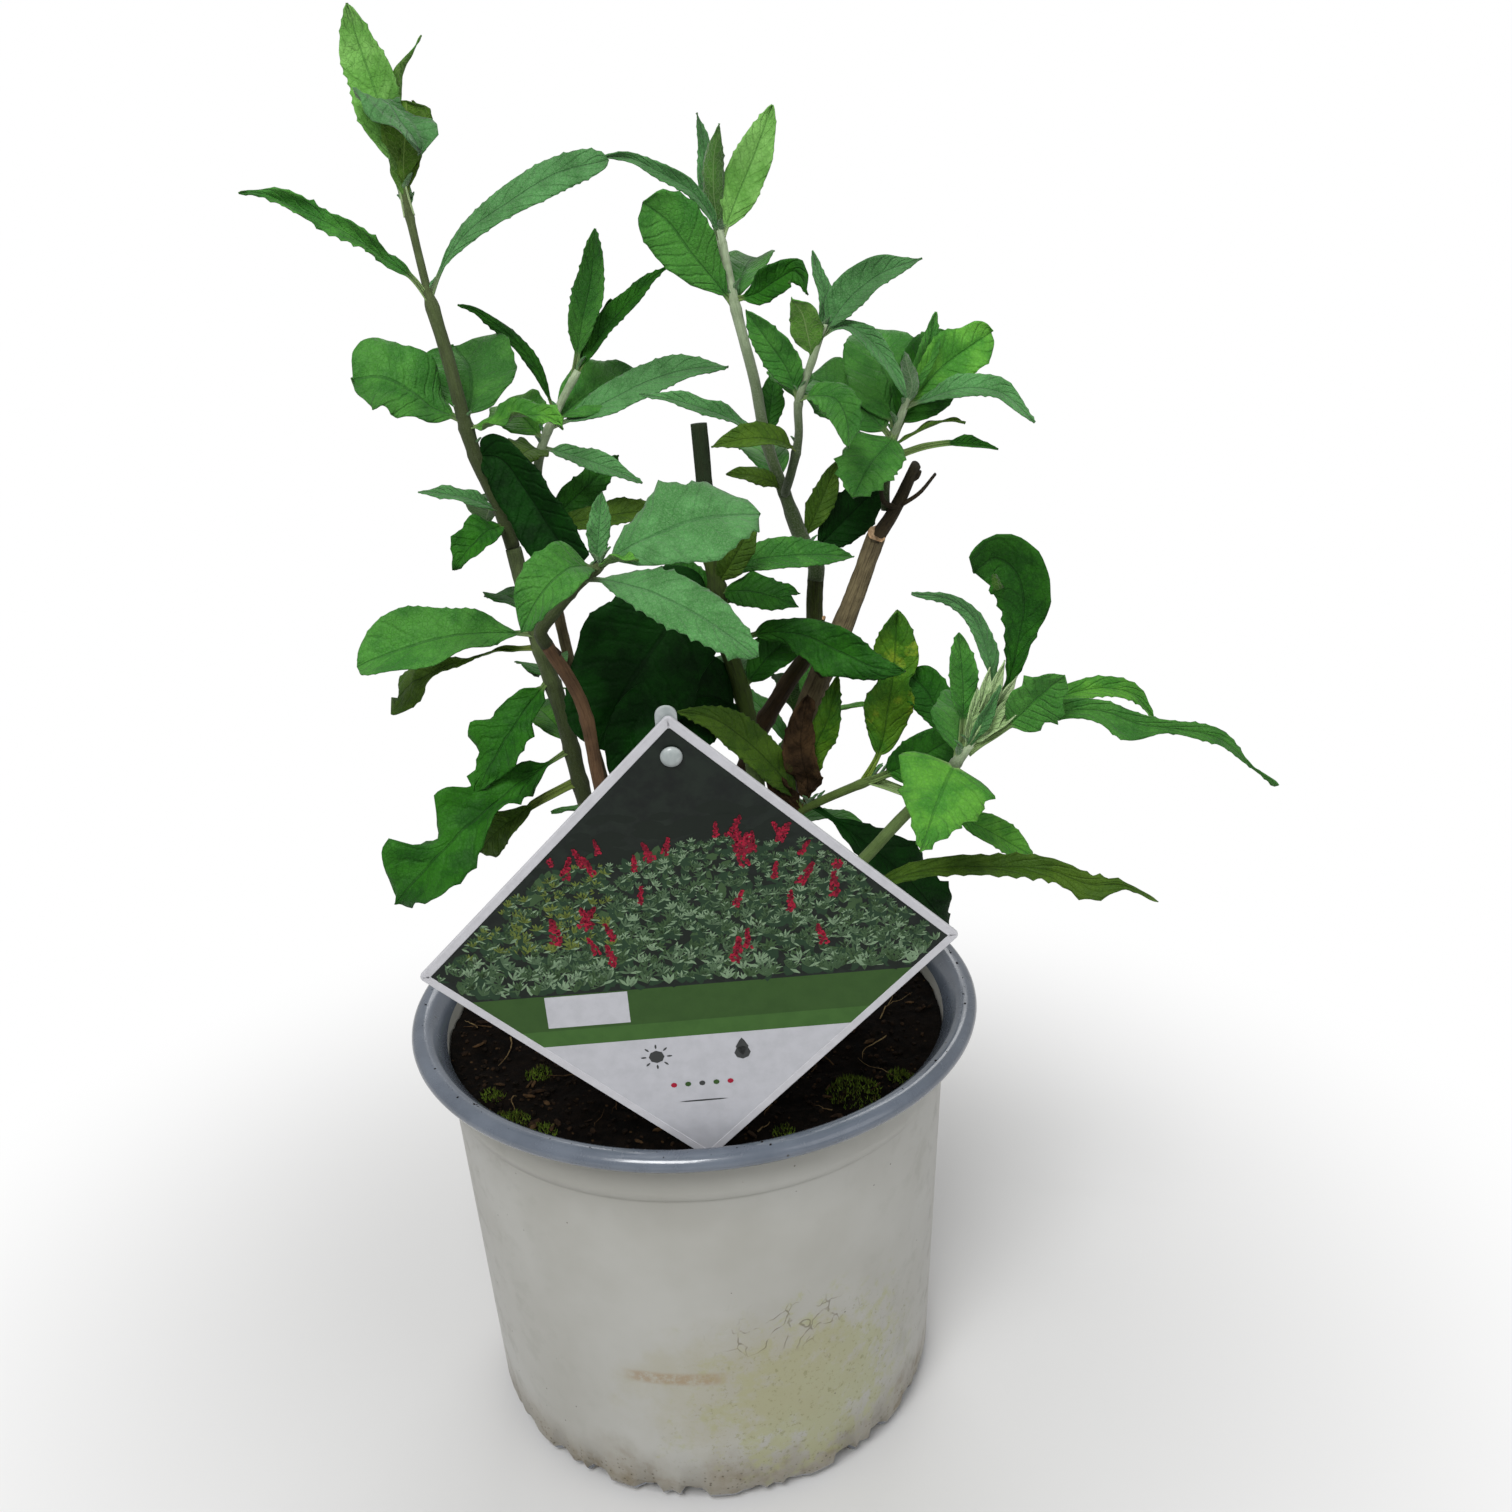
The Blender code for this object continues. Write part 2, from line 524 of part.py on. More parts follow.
def leaf_frames(leaf, root):
    """Points along the midrib, each with the blade's sideways and upward directions."""
    reach = Vector(leaf.reach) * MM
    along = reach.normalized()
    upward = Vector(leaf.faces).normalized()
    upward = (upward - along * upward.dot(along)).normalized()
    side = along.cross(upward)
    bend = reach * 0.5 + (upward * leaf.arch + side * leaf.sweep) * 2 * MM
    for share in LEAF_ROWS:
        place = root + bend * 2 * share * (1 - share) + reach * share ** 2
        tangent = (bend * (1 - 2 * share) * 2 + reach * 2 * share).normalized()
        across = tangent.cross(upward)
        across = across.normalized() if across.length > 0.05 else side
        yield share, place, across, across.cross(tangent)


def leaf_object(leaf, root, thickness, home):
    """A blade three points wide with a shallow fold at the midrib, and an even thickness."""
    shape = bmesh.new()
    rows = []
    for share, place, across, upward in leaf_frames(leaf, root):
        half = leaf.width * MM / 2 * leaf_width(share)
        rise = upward * half * LEAF_FOLD
        rows.append([shape.verts.new(place - across * half + rise), shape.verts.new(place),
                     shape.verts.new(place + across * half + rise)])
    for low, high in zip(rows, rows[1:]):
        for column in (0, 1):
            shape.faces.new((low[column], low[column + 1], high[column + 1], high[column]))
    mesh = bpy.data.meshes.new("leaf")
    shape.to_mesh(mesh)
    shape.free()
    made = new_object("leaf", mesh, home)
    thick = made.modifiers.new("thickness", "SOLIDIFY")
    thick.thickness = thickness
    thick.offset = 0.0
    return applied(made)


def tree_of(source):
    mesh = source.data
    points = [source.matrix_world @ vertex.co for vertex in mesh.vertices]
    return BVHTree.FromPolygons(points, [tuple(face.vertices) for face in mesh.polygons])


def grow(name, shoot, stems, blocked, home, finish):
    """Joins a shoot's stems and leaves into one solid, leaving out leaves with no room."""
    parts = collection(name + "_parts")
    for stem in stems:
        parts.objects.link(stem)
        home.objects.unlink(stem)
    blades = []
    for part in (shoot, *shoot.twigs):
        route = smooth_route(part.route, TWIG_SPACING)
        for leaf in part.leaves:
            root = stem_point(route, leaf.height * MM)
            fat = leaf_object(leaf, root, LEAF_THICKNESS + 2 * LEAF_CLEARANCE, parts)
            tree = tree_of(fat)
            bpy.data.objects.remove(fat, do_unlink=True)
            if any(tree.overlap(other) for other in blocked):
                continue
            blades.append(tree)
            leaf_object(leaf, root, LEAF_THICKNESS, parts)
    main = stems[0]
    parts.objects.unlink(main)
    home.objects.link(main)
    join = main.modifiers.new("join", "BOOLEAN")
    join.operation = "UNION"
    join.operand_type = "COLLECTION"
    join.collection = parts
    join.solver = "MANIFOLD"
    applied(main)
    for old in list(parts.objects):
        bpy.data.objects.remove(old, do_unlink=True)
    bpy.data.collections.remove(parts)
    main.data.materials.clear()
    main.data.materials.append(finish)
    return blades


def main():
    clear_scene()
    home = collection("butterfly_bush")
    cutters = collection("cutters")
    make_pot(home, cutters)
    make_soil(home, cutters)
    make_label(home)
    bark = material("bark", (0.20, 0.12, 0.075), 0.85)
    green = material("leafy_shoot", (0.06, 0.20, 0.05), 0.6)
    for name, limb in LIMBS.items():
        tube(name, limb, LIMB_SPACING, home, bark)
    bpy.context.view_layer.update()
    blocked = [tree_of(made) for made in home.objects if made.type == "MESH"]

    shoots = leafy_shoots(random.Random(SEED))
    for name, shoot in shoots.items():
        if shoot.carries_on:
            below = {**LIMBS, **shoots}[shoot.carries_on]
            shoots[name] = carried_on(shoot, below)
    stems = {}
    for name, shoot in shoots.items():
        stems[name] = [tube(name, shoot, TWIG_SPACING, home, green)]
        for index, twig in enumerate(shoot.twigs):
            stems[name].append(tube(f"{name}_twig_{index}", twig, TWIG_SPACING, home, green))
    stem_trees = {name: [tree_of(stem) for stem in made] for name, made in stems.items()}
    grown = []
    for name, shoot in shoots.items():
        others = [tree for other, trees in stem_trees.items() if other != name for tree in trees]
        grown += grow(name, shoot, stems[name], blocked + others + grown, home, green)


if __name__ == "__main__":
    main()
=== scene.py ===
"""The looks of a young butterfly bush in its round nursery pot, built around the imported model.

The stems and the leafy shoots grow by the same rows of sizes as the part's solids, carried finer:
toothed and veined leaves, bark relief, rings and buds at the nodes. The pot, the soil and the plant
label are modelled again in more detail in the same places. Plant sizes are in millimetres.
"""
import logging
from dataclasses import dataclass, field, replace
from enum import Enum, IntEnum
from math import atan2, cos, exp, hypot, pi, radians, sin, sqrt
from random import Random
from typing import Callable, Iterable, Optional, Sequence

import bmesh
import bpy
from mathutils import Matrix, Vector, noise

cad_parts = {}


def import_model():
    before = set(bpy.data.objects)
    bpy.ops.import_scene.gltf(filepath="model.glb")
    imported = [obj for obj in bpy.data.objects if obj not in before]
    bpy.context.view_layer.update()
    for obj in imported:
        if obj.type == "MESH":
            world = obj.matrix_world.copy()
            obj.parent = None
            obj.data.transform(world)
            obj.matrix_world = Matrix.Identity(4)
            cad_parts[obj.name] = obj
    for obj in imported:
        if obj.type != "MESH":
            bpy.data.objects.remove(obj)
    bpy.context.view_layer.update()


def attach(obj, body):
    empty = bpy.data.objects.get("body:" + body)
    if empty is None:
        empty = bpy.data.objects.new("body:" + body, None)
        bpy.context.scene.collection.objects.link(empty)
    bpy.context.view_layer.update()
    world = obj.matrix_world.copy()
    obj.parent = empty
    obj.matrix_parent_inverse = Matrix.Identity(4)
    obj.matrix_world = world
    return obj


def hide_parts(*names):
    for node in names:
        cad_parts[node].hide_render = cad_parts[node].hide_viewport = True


LOG = logging.getLogger("butterfly_bush")
MM = 0.001
GAP = 0.3
CUT_SLANT = 0.75
ROUND = 2 * pi

Socket = bpy.types.NodeSocket
NodeTree = bpy.types.NodeTree
Material = bpy.types.Material
BMesh = bmesh.types.BMesh
Triple = tuple[float, float, float]
UP: Triple = (0, 0, 1)
FRONT: Triple = (0, -1, 0.1)
FRONT_UP: Triple = (0, -1, 1)
LEFT: Triple = (-1, 0, 0.1)
BACK: Triple = (0, 1, 0.3)
FELT_HAIRS: Triple = (158, 182, 150)
BARK_HAIRS: Triple = (190, 194, 176)


class Tone(Enum):
    """The kinds of leaf on the plant, each with its own finish; one is the fresh finish made lighter as
    painted light, and the darkest is partly painted shade.
    """
    FRESH = "fresh"
    MID = "mid"
    DARK = "dark"
    # near-black green: partly the leaf's own dark colour, partly painted shade of the clump's inside
    DEEP = "deep"
    FELT = "felt"
    OLIVE = "olive"
    YELLOW = "yellow"
    BROWN = "brown"
    PALE = "pale"
    # painted light: the fresh leaf's finish made lighter, with the same underside
    BRIGHT = "bright"


class Bark(Enum):
    """The kinds of stem surface."""
    WOODY = "woody"
    REDDISH = "reddish"
    GREEN = "green"
    FELTED = "felted"
    STUB = "stub"
    DEAD = "dead"
    OLIVE = "olive"
    ROUGH = "rough"


@dataclass(frozen=True)
class Leaf:
    """One leaf, by the height where it leaves its stem and the way from there to its tip.

    Args:
        height: height of its root above the floor, in mm.
        reach: from the root to the tip, in mm.
        width: full width of the blade, in mm.
        tone: the finish.
        faces: the way the upper face looks.
        arch: how far the midrib rises out of the straight line, in mm.
        wave: how far the margin waves up and down, in mm.
        roll: how far the two halves roll up (or down, if negative), in radians.
        twist: turn of the blade about its midrib from root to tip, in degrees.
        broad: where the blade is widest, 0.5 being the middle.
        full: how parallel its sides are; a smaller value gives a fuller blade.
        blunt: how round its tip is, from 0 to 1.
        stalk: share of the length that is stalk.
        lobes: place, gain and side (1, -1 or 0 for both) of each lobe; a negative gain narrows.
        ragged: how uneven the margin's line is, as a share of the width.
        teeth: how far apart the teeth are and how far they stand out, in mm.
        crinkle: how far the blade is crumpled, in mm.
        way: points between root and tip that replace the arch, in mm from the root.
    """
    height: float
    reach: Triple
    width: float
    tone: Tone = Tone.MID
    faces: Triple = UP
    arch: float = 4
    wave: float = 0.6
    roll: float = 0.0
    twist: float = 0.0
    broad: float = 0.45
    full: float = 1.7
    blunt: float = 0.0
    stalk: float = 0.10
    lobes: tuple[Triple, ...] = ()
    ragged: float = 0.09
    teeth: tuple[float, float] = (2.5, 0.45)
    crinkle: float = 0.35
    way: tuple[Triple, ...] = ()


@dataclass(frozen=True)
class Shoot:
    """A stem through a few points, its radius at both ends, and what grows on it.

    Args:
        route: points on its middle line, in mm.
        radii: its radius at its foot and at its tip, in mm.
        leaves: the leaves on it.
        twigs: the side twigs on it.
        carries_on: name of the bare stem or the shoot whose tip it starts from.
        bark: its finish.
        drop: a height in mm above which it is thinner, and by what share.
        rings: heights of the rings that old leaves left on a bare stem, in mm.
    """
    route: tuple[Triple, ...]
    radii: tuple[float, float]
    leaves: tuple[Leaf, ...] = ()
    twigs: tuple["Shoot", ...] = ()
    carries_on: str = ""
    bark: Bark = Bark.GREEN
    drop: tuple[float, float] = (0.0, 0.0)
    rings: tuple[float, ...] = ()


def linear(red: float, green: float, blue: float) -> tuple[float, float, float, float]:
    """A colour given in 0 to 255 screen values, as the linear value a shader takes."""
    def one(value: float) -> float:
        """One channel."""
        share = value / 255
        return share / 12.92 if share <= 0.04045 else ((share + 0.055) / 1.055) ** 2.4
    return (one(red), one(green), one(blue), 1.0)


class Desk:
    """Lays nodes in one shader tree and joins them."""

    def __init__(self, tree: NodeTree) -> None:
        """Args:
            tree: the tree to work in.
        """
        self.tree = tree

    def feed(self, socket: Socket, value: object) -> None:
        """Links a socket to an input or sets a plain value on it; None leaves it alone."""
        if isinstance(value, Socket):
            self.tree.links.new(value, socket)
        elif value is not None:
            socket.default_value = value

    def put(self, kind: str, *inputs: object, output: int = 0, **settings: object) -> Socket:
        """Adds a node and sets or links its inputs in order.

        Args:
            kind: the node's type name.
            inputs: a socket, a value or None for each input, in order.
            output: which output to hand back.
            settings: properties of the node itself.

        Returns:
            The chosen output socket.
        """
        node = self.tree.nodes.new(kind)
        for key, value in settings.items():
            setattr(node, key, value)
        for socket, value in zip(node.inputs, inputs):
            self.feed(socket, value)
        return node.outputs[output]

    def math(self, operation: str, *inputs: object) -> Socket:
        """A math node of the given operation."""
        return self.put("ShaderNodeMath", *inputs, operation=operation)

    def vector(self, operation: str, *inputs: object, output: int = 0) -> Socket:
        """A vector math node of the given operation."""
        return self.put("ShaderNodeVectorMath", *inputs, output=output, operation=operation)

    def times(self, first: object, second: object) -> Socket:
        """Two values multiplied."""
        return self.math("MULTIPLY", first, second)

    def plus(self, total: object, *others: object) -> Socket:
        """Values added up."""
        for other in others:
            total = self.math("ADD", total, other)
        return total

    def range(self, value: object, low: object, high: object, to_low: float = 0.0,
              to_high: float = 1.0) -> Socket:
        """A smooth step from one range to another, held at both ends."""
        return self.put("ShaderNodeMapRange", value, low, high, to_low, to_high,
                        interpolation_type="SMOOTHSTEP")

    def mix(self, share: object, first: object, second: object) -> Socket:
        """A colour mix."""
        return self.put("ShaderNodeMix", share, *[None] * 5, first, second, output=2, data_type="RGBA")

    def tint(self, colour: object, mask: object, ink: Triple, amount: float = 1.0) -> Socket:
        """The colour with some of an ink over it where the mask says so."""
        share = mask if amount == 1.0 else self.times(mask, amount)
        return self.mix(share, colour, linear(*ink))

    def noise(self, vector: object, scale: object, detail: float = 3.0, rough: float = 0.55,
              distort: float = 0.0) -> Socket:
        """Cloudy noise, 0 to 1."""
        return self.put("ShaderNodeTexNoise", vector, None, scale, detail, rough, None, None, None, distort)

    def push(self, place: object, scale: float, detail: float, reach: Triple) -> Socket:
        """The place pushed about by coloured noise, by up to a reach along each axis."""
        cloud = self.put("ShaderNodeTexNoise", place, None, scale, detail, output=1)
        return self.vector("ADD", place, self.vector("MULTIPLY", cloud, reach))

    def cells(self, vector: object, scale: object, feature: str = "F1",
              output: int = 0) -> Socket:
        """Distance in a scatter of cells, or another output of it."""
        return self.put("ShaderNodeTexVoronoi", vector, None, scale, output=output, feature=feature)

    def group(self, tree: NodeTree, **values: object) -> list[Socket]:
        """Places a shared effect, sets its inputs by name, and hands back its outputs."""
        node = self.tree.nodes.new("ShaderNodeGroup")
        node.node_tree = tree
        for label, value in values.items():
            self.feed(node.inputs[label.replace("_", " ").title()], value)
        return list(node.outputs)

    def place(self) -> Socket:
        """The point on the object, in metres."""
        return self.put("ShaderNodeTexCoord", output=3)

    def split(self, vector: Socket) -> list[Socket]:
        """The three parts of a vector."""
        node = self.tree.nodes.new("ShaderNodeSeparateXYZ")
        self.feed(node.inputs[0], vector)
        return list(node.outputs)

    def uv(self) -> list[Socket]:
        """Across and along on the piece's own map."""
        return self.split(self.put("ShaderNodeUVMap", uv_map="UVMap"))[:2]


class Effect(Desk):
    """A new node group that several finishes share."""

    def __init__(self, name: str, inputs: dict[str, object], *outputs: str) -> None:
        """Args:
            name: the group's name.
            inputs: first value of each input by its label; a triple makes a vector input.
            outputs: label of each output, all plain values.
        """
        super().__init__(bpy.data.node_groups.new(name, "ShaderNodeTree"))
        sockets = self.tree.interface
        for label, value in inputs.items():
            kind = "NodeSocketVector" if isinstance(value, tuple) else "NodeSocketFloat"
            sockets.new_socket(name=label, in_out="INPUT", socket_type=kind).default_value = value
        for label in outputs:
            sockets.new_socket(name=label, in_out="OUTPUT", socket_type="NodeSocketFloat")
        self.given = list(self.tree.nodes.new("NodeGroupInput").outputs)[:len(inputs)]
        self.end = self.tree.nodes.new("NodeGroupOutput")

    def give(self, *values: Socket) -> NodeTree:
        """Leads the values to the group's outputs in order, and hands back its tree."""
        for socket, value in zip(self.end.inputs, values):
            self.feed(socket, value)
        return self.tree


class Effects:
    """The shared effects, each built once."""

    def __init__(self) -> None:
        """Builds every shared effect."""
        self.veins = self._veins()
        self.speckle = self._speckle()
        self.mottle = self._mottle()
        self.fuzz = self._fuzz()
        self.ridges = self._ridges()
        self.patch = self._patch()
        self.net = self._net()

    @staticmethod
    def _veins() -> NodeTree:
        """Midrib and arching side veins of a leaf, from its own map."""
        desk = Effect("leaf_veins", {"Across": 0.5, "Along": 0.5, "Pairs": 10.0, "Lean": 0.16},
                      "Midrib", "Side", "Height")
        across, along, pairs, lean = desk.given
        centred = desk.math("MULTIPLY_ADD", across, 2.0, -1.0)
        out = desk.math("ABSOLUTE", centred)
        wobble = desk.math("MULTIPLY_ADD", desk.noise(desk.place(), 260.0, 1.0), 0.5, -0.25)
        forward = desk.times(desk.math("POWER", out, 1.25), lean)
        shift = desk.times(desk.math("GREATER_THAN", centred, 0.0), 0.35)
        phase = desk.plus(desk.times(desk.math("SUBTRACT", along, forward), pairs), shift, wobble)
        apart = desk.math("ABSOLUTE", desk.math("SUBTRACT", desk.math("FRACT", phase), 0.5))
        side = desk.times(desk.range(apart, 0.46, 0.5), desk.range(out, 0.95, 0.7))
        midrib = desk.range(out, 0.055, 0.015)
        puff = desk.times(desk.range(apart, 0.5, 0.28), desk.range(out, 0.0, 0.25))
        return desk.give(midrib, side, desk.math("SUBTRACT", puff, desk.times(midrib, 0.9)))

    @staticmethod
    def _net() -> NodeTree:
        """The fine net of veins between the side veins: its lines, and the swell of its cells."""
        desk = Effect("vein_net", {"Scale": 760.0}, "Lines", "Cells")
        place = desk.push(desk.place(), 300.0, 2.0, (0.0012, 0.0012, 0.0012))
        edge = desk.cells(place, desk.given[0], "DISTANCE_TO_EDGE")
        return desk.give(desk.range(edge, 0.16, 0.0), desk.range(edge, 0.2, 0.5))

    @staticmethod
    def _speckle() -> NodeTree:
        """Scattered round specks."""
        desk = Effect("speckle", {"Scale": 200.0, "Size": 0.2, "Share": 0.3}, "Mask")
        scale, size, share = desk.given
        place = desk.place()
        pick = desk.put("ShaderNodeSeparateColor", desk.cells(place, scale, output=1))
        near = desk.math("SUBTRACT", 1.0, desk.math("DIVIDE", desk.cells(place, scale), size))
        return desk.give(desk.times(desk.range(near, 0.0, 0.4), desk.math("LESS_THAN", pick, share)))

    @staticmethod
    def _mottle() -> NodeTree:
        """Soft patches, with a low and a high end to set how much they cover."""
        desk = Effect("mottle", {"Scale": 60.0, "Low": 0.4, "High": 0.6}, "Mask")
        scale, low, high = desk.given
        return desk.give(desk.range(desk.noise(desk.place(), scale, 4.0, 0.6), low, high))

    @staticmethod
    def _fuzz() -> NodeTree:
        """Very fine felt, as a height and a mask."""
        desk = Effect("felt_fuzz", {"Scale": 2200.0}, "Height", "Mask")
        fine = desk.noise(desk.place(), desk.given[0], 3.0, 0.7)
        return desk.give(fine, desk.range(fine, 0.42, 0.66))

    @staticmethod
    def _ridges() -> NodeTree:
        """Long ridges that run along a stem, from its own map."""
        desk = Effect("bark_ridges", {"Across": 0.5, "Along": 0.5, "Count": 14.0, "Length": 5.0},
                      "Height", "Mask")
        across, along, count, length = desk.given
        turn = desk.times(across, ROUND)
        spread = desk.math("DIVIDE", count, 6.0)
        where = desk.put("ShaderNodeCombineXYZ", desk.times(desk.math("COSINE", turn), spread),
                         desk.times(desk.math("SINE", turn), spread), desk.times(along, length))
        streak = desk.noise(where, 2.0, 5.0, 0.65, 0.4)
        return desk.give(streak, desk.range(streak, 0.45, 0.68))

    @staticmethod
    def _patch() -> NodeTree:
        """A soft-edged blot round a place on the object, broken up by noise."""
        desk = Effect("blot", {"Centre": (0.0, 0.0, 0.0), "Spread": (30.0, 30.0, 30.0), "Break Up": 0.6,
                               "Scale": 90.0}, "Mask")
        centre, spread, break_up, scale = desk.given
        place = desk.place()
        away = desk.vector("MULTIPLY", desk.vector("SUBTRACT", place, centre), spread)
        cloud = desk.math("MULTIPLY_ADD", desk.noise(place, scale, 5.0, 0.65), 2.0, -1.0)
        far = desk.plus(desk.vector("LENGTH", away, output=1), desk.times(cloud, break_up))
        return desk.give(desk.range(far, 1.0, 0.35))


class Surface(Desk):
    """A new material with a plain shader, ready for its colour and its bump."""

    def __init__(self, name: str, roughness: float = 0.5, sheen: float = 0.0,
                 specular: float = 0.5) -> None:
        """Args:
            name: the material's name.
            roughness: how dull it is.
            sheen: how much it has of the sheen of soft surfaces.
            specular: how strongly it reflects.
        """
        self.material = bpy.data.materials.new(name)
        self.material.use_nodes = True
        super().__init__(self.material.node_tree)
        self.shader = self.tree.nodes["Principled BSDF"]
        self.dress({"Roughness": roughness, "Sheen Weight": sheen, "Sheen Roughness": 0.5,
                    "Specular IOR Level": specular})

    def dress(self, values: dict[str, object]) -> None:
        """Sets or links inputs of the shader by their labels."""
        for label, value in values.items():
            self.feed(self.shader.inputs[label], value)

    def done(self, colour: Socket, height: Socket, strength: float,
             distance: float) -> Material:
        """Leads the colour and the height of the bump into the shader.

        Args:
            colour: the base colour.
            height: the bump's height, 0 to 1.
            strength: the bump's strength.
            distance: the bump's depth, in metres.

        Returns:
            The finished material.
        """
        node = self.tree.nodes.new("ShaderNodeBump")
        for label, value in (("Strength", strength), ("Distance", distance), ("Height", height)):
            self.feed(node.inputs[label], value)
        self.dress({"Base Color": colour, "Normal": node.outputs[0]})
        return self.material


@dataclass(frozen=True)
class LeafFinish:
    """Colours of one kind of leaf, above and below, as 0 to 255 screen values."""
    blade: Triple
    shade: Triple
    vein: Triple
    rib: Triple
    under: Triple
    under_rib: Triple
    felt: float = 0.15
    roughness: float = 0.55
    patch: Optional[Triple] = None
    shine: float = 0.14

    def upper(self, name: str, effects: Effects) -> Material:
        """The finish of the upper face, with a painted highlight on the swell of the vein net's cells."""
        desk = Surface(name, self.roughness, self.felt * 0.4, self.shine)
        across, along = desk.uv()
        midrib, side, swell = desk.group(effects.veins, across=across, along=along)
        mottle = desk.group(effects.mottle, scale=95.0, low=0.38, high=0.62)[0]
        colour = desk.mix(mottle, linear(*self.blade), linear(*self.shade))
        if self.patch:
            blotch = desk.group(effects.mottle, scale=110.0, low=0.57, high=0.66)[0]
            colour = desk.tint(colour, blotch, self.patch)
        lines, cells = desk.group(effects.net)
        grain, nap = desk.group(effects.fuzz, scale=2600.0)
        # painted highlight: the middles of the vein net's cells are lightened as though lit on their swell
        cell_highlight = tuple(min(255.0, value * 1.2 + 6) for value in self.blade)
        for mask, ink, amount in ((lines, self.vein, 0.16), (cells, cell_highlight, 0.16), (side, self.vein, 0.22),
                                  (midrib, self.vein, 0.5),
                                  (desk.range(along, 0.14, 0.07, 0.0, 0.85), self.rib, 1.0),
                                  (nap, FELT_HAIRS, self.felt * 0.5)):
            colour = desk.tint(colour, mask, ink, amount)
        value = desk.range(desk.noise(desk.place(), 24.0, 2.0), 0.3, 0.7, 0.8, 1.16)
        colour = desk.put("ShaderNodeHueSaturation", None, None, value, None, colour)
        height = desk.plus(desk.times(swell, 0.6), desk.times(lines, -0.16), desk.times(mottle, 0.3),
                           desk.times(grain, 0.25))
        return desk.done(colour, height, 0.8, 0.0006)

    def lower(self, name: str, effects: Effects) -> Material:
        """The finish of the felted underside."""
        desk = Surface(name, 0.8, min(1.0, self.felt + 0.1), 0.15)
        across, along = desk.uv()
        midrib, side, _ = desk.group(effects.veins, across=across, along=along)
        mottle = desk.group(effects.mottle, scale=90.0, low=0.3, high=0.7)[0]
        dark = tuple(value * 0.72 for value in self.under)
        colour = desk.mix(mottle, linear(*self.under), linear(*dark))
        ribs = desk.math("MAXIMUM", midrib, desk.times(side, 0.7))
        ribs = desk.math("MAXIMUM", ribs, desk.times(desk.group(effects.net)[0], 0.35))
        colour = desk.tint(colour, ribs, self.under_rib)
        grain = desk.group(effects.fuzz, scale=2400.0)[0]
        return desk.done(colour, desk.plus(ribs, desk.times(grain, 0.3)), 0.7, 0.0005)


LEAF_FINISHES: dict[Tone, LeafFinish] = {
    Tone.FRESH: LeafFinish((88, 154, 48), (58, 124, 34), (34, 92, 22), (140, 164, 106),
                           (76, 126, 38), (116, 150, 80), 0.12, 0.55),
    Tone.MID: LeafFinish((66, 130, 44), (44, 106, 30), (24, 76, 18), (124, 146, 92),
                         (64, 110, 38), (104, 140, 76), 0.15, 0.55),
    Tone.DARK: LeafFinish((38, 100, 14), (22, 76, 8), (8, 50, 4), (116, 140, 80),
                          (48, 88, 20), (84, 116, 52), 0.05, 0.55),
    # near-black green: partly the leaf's own dark colour, partly painted shade of the clump's inside
    Tone.DEEP: LeafFinish((10, 52, 6), (4, 34, 3), (2, 24, 2), (16, 56, 12),
                          (34, 58, 10), (64, 84, 30), 0.0, 0.6, None, 0.08),
    Tone.FELT: LeafFinish((78, 138, 74), (58, 114, 54), (36, 88, 38), (104, 122, 78),
                          (88, 130, 80), (130, 158, 116), 0.32, 0.65, None, 0.15),
    Tone.OLIVE: LeafFinish((74, 106, 24), (56, 88, 16), (38, 64, 10), (112, 130, 60),
                           (74, 116, 26), (104, 134, 60), 0.05, 0.55),
    Tone.YELLOW: LeafFinish((78, 122, 20), (50, 100, 16), (34, 76, 12), (124, 150, 60),
                            (84, 118, 28), (118, 140, 64), 0.05, 0.55, (112, 138, 30)),
    Tone.BROWN: LeafFinish((74, 56, 36), (48, 36, 24), (34, 26, 16), (96, 78, 50),
                           (80, 62, 40), (100, 80, 54), 0.0, 0.85, (60, 58, 28), 0.08),
    # painted light: the fresh finish made lighter, with the same underside
    Tone.BRIGHT: LeafFinish((124, 180, 90), (94, 152, 62), (58, 116, 40), (176, 196, 146),
                            (76, 126, 38), (116, 150, 80), 0.12, 0.55),
    Tone.PALE: LeafFinish((178, 198, 150), (146, 176, 116), (110, 148, 84), (204, 214, 186),
                          (182, 194, 166), (200, 206, 186), 0.4, 0.65, None, 0.15),
}


@dataclass(frozen=True)
class BarkFinish:
    """Colours of one kind of stem: at its foot, towards its tip, and in its furrows."""
    foot: Triple
    tip: Triple
    furrow: Triple
    turn: tuple[float, float] = (0.3, 0.8)
    felt: float = 0.1
    relief: float = 0.4
    streaks: float = 0.5

    def make(self, name: str, effects: Effects) -> Material:
        """The finish of the stem's surface."""
        desk = Surface(name, 0.75, self.felt, 0.3)
        across, along = desk.uv()
        ridges, furrows = desk.group(effects.ridges, across=across, along=along, count=16.0, length=9.0)
        mottle = desk.group(effects.mottle, scale=160.0, low=0.35, high=0.7)[0]
        grain, nap = desk.group(effects.fuzz, scale=2400.0)
        colour = desk.mix(desk.range(along, *self.turn), linear(*self.foot), linear(*self.tip))
        colour = desk.tint(colour, mottle, self.furrow, 0.45)
        colour = desk.tint(colour, furrows, self.furrow, self.streaks)
        colour = desk.tint(colour, nap, BARK_HAIRS, self.felt * 0.6)
        return desk.done(colour, desk.plus(ridges, desk.times(grain, 0.3)), self.relief, 0.0008)


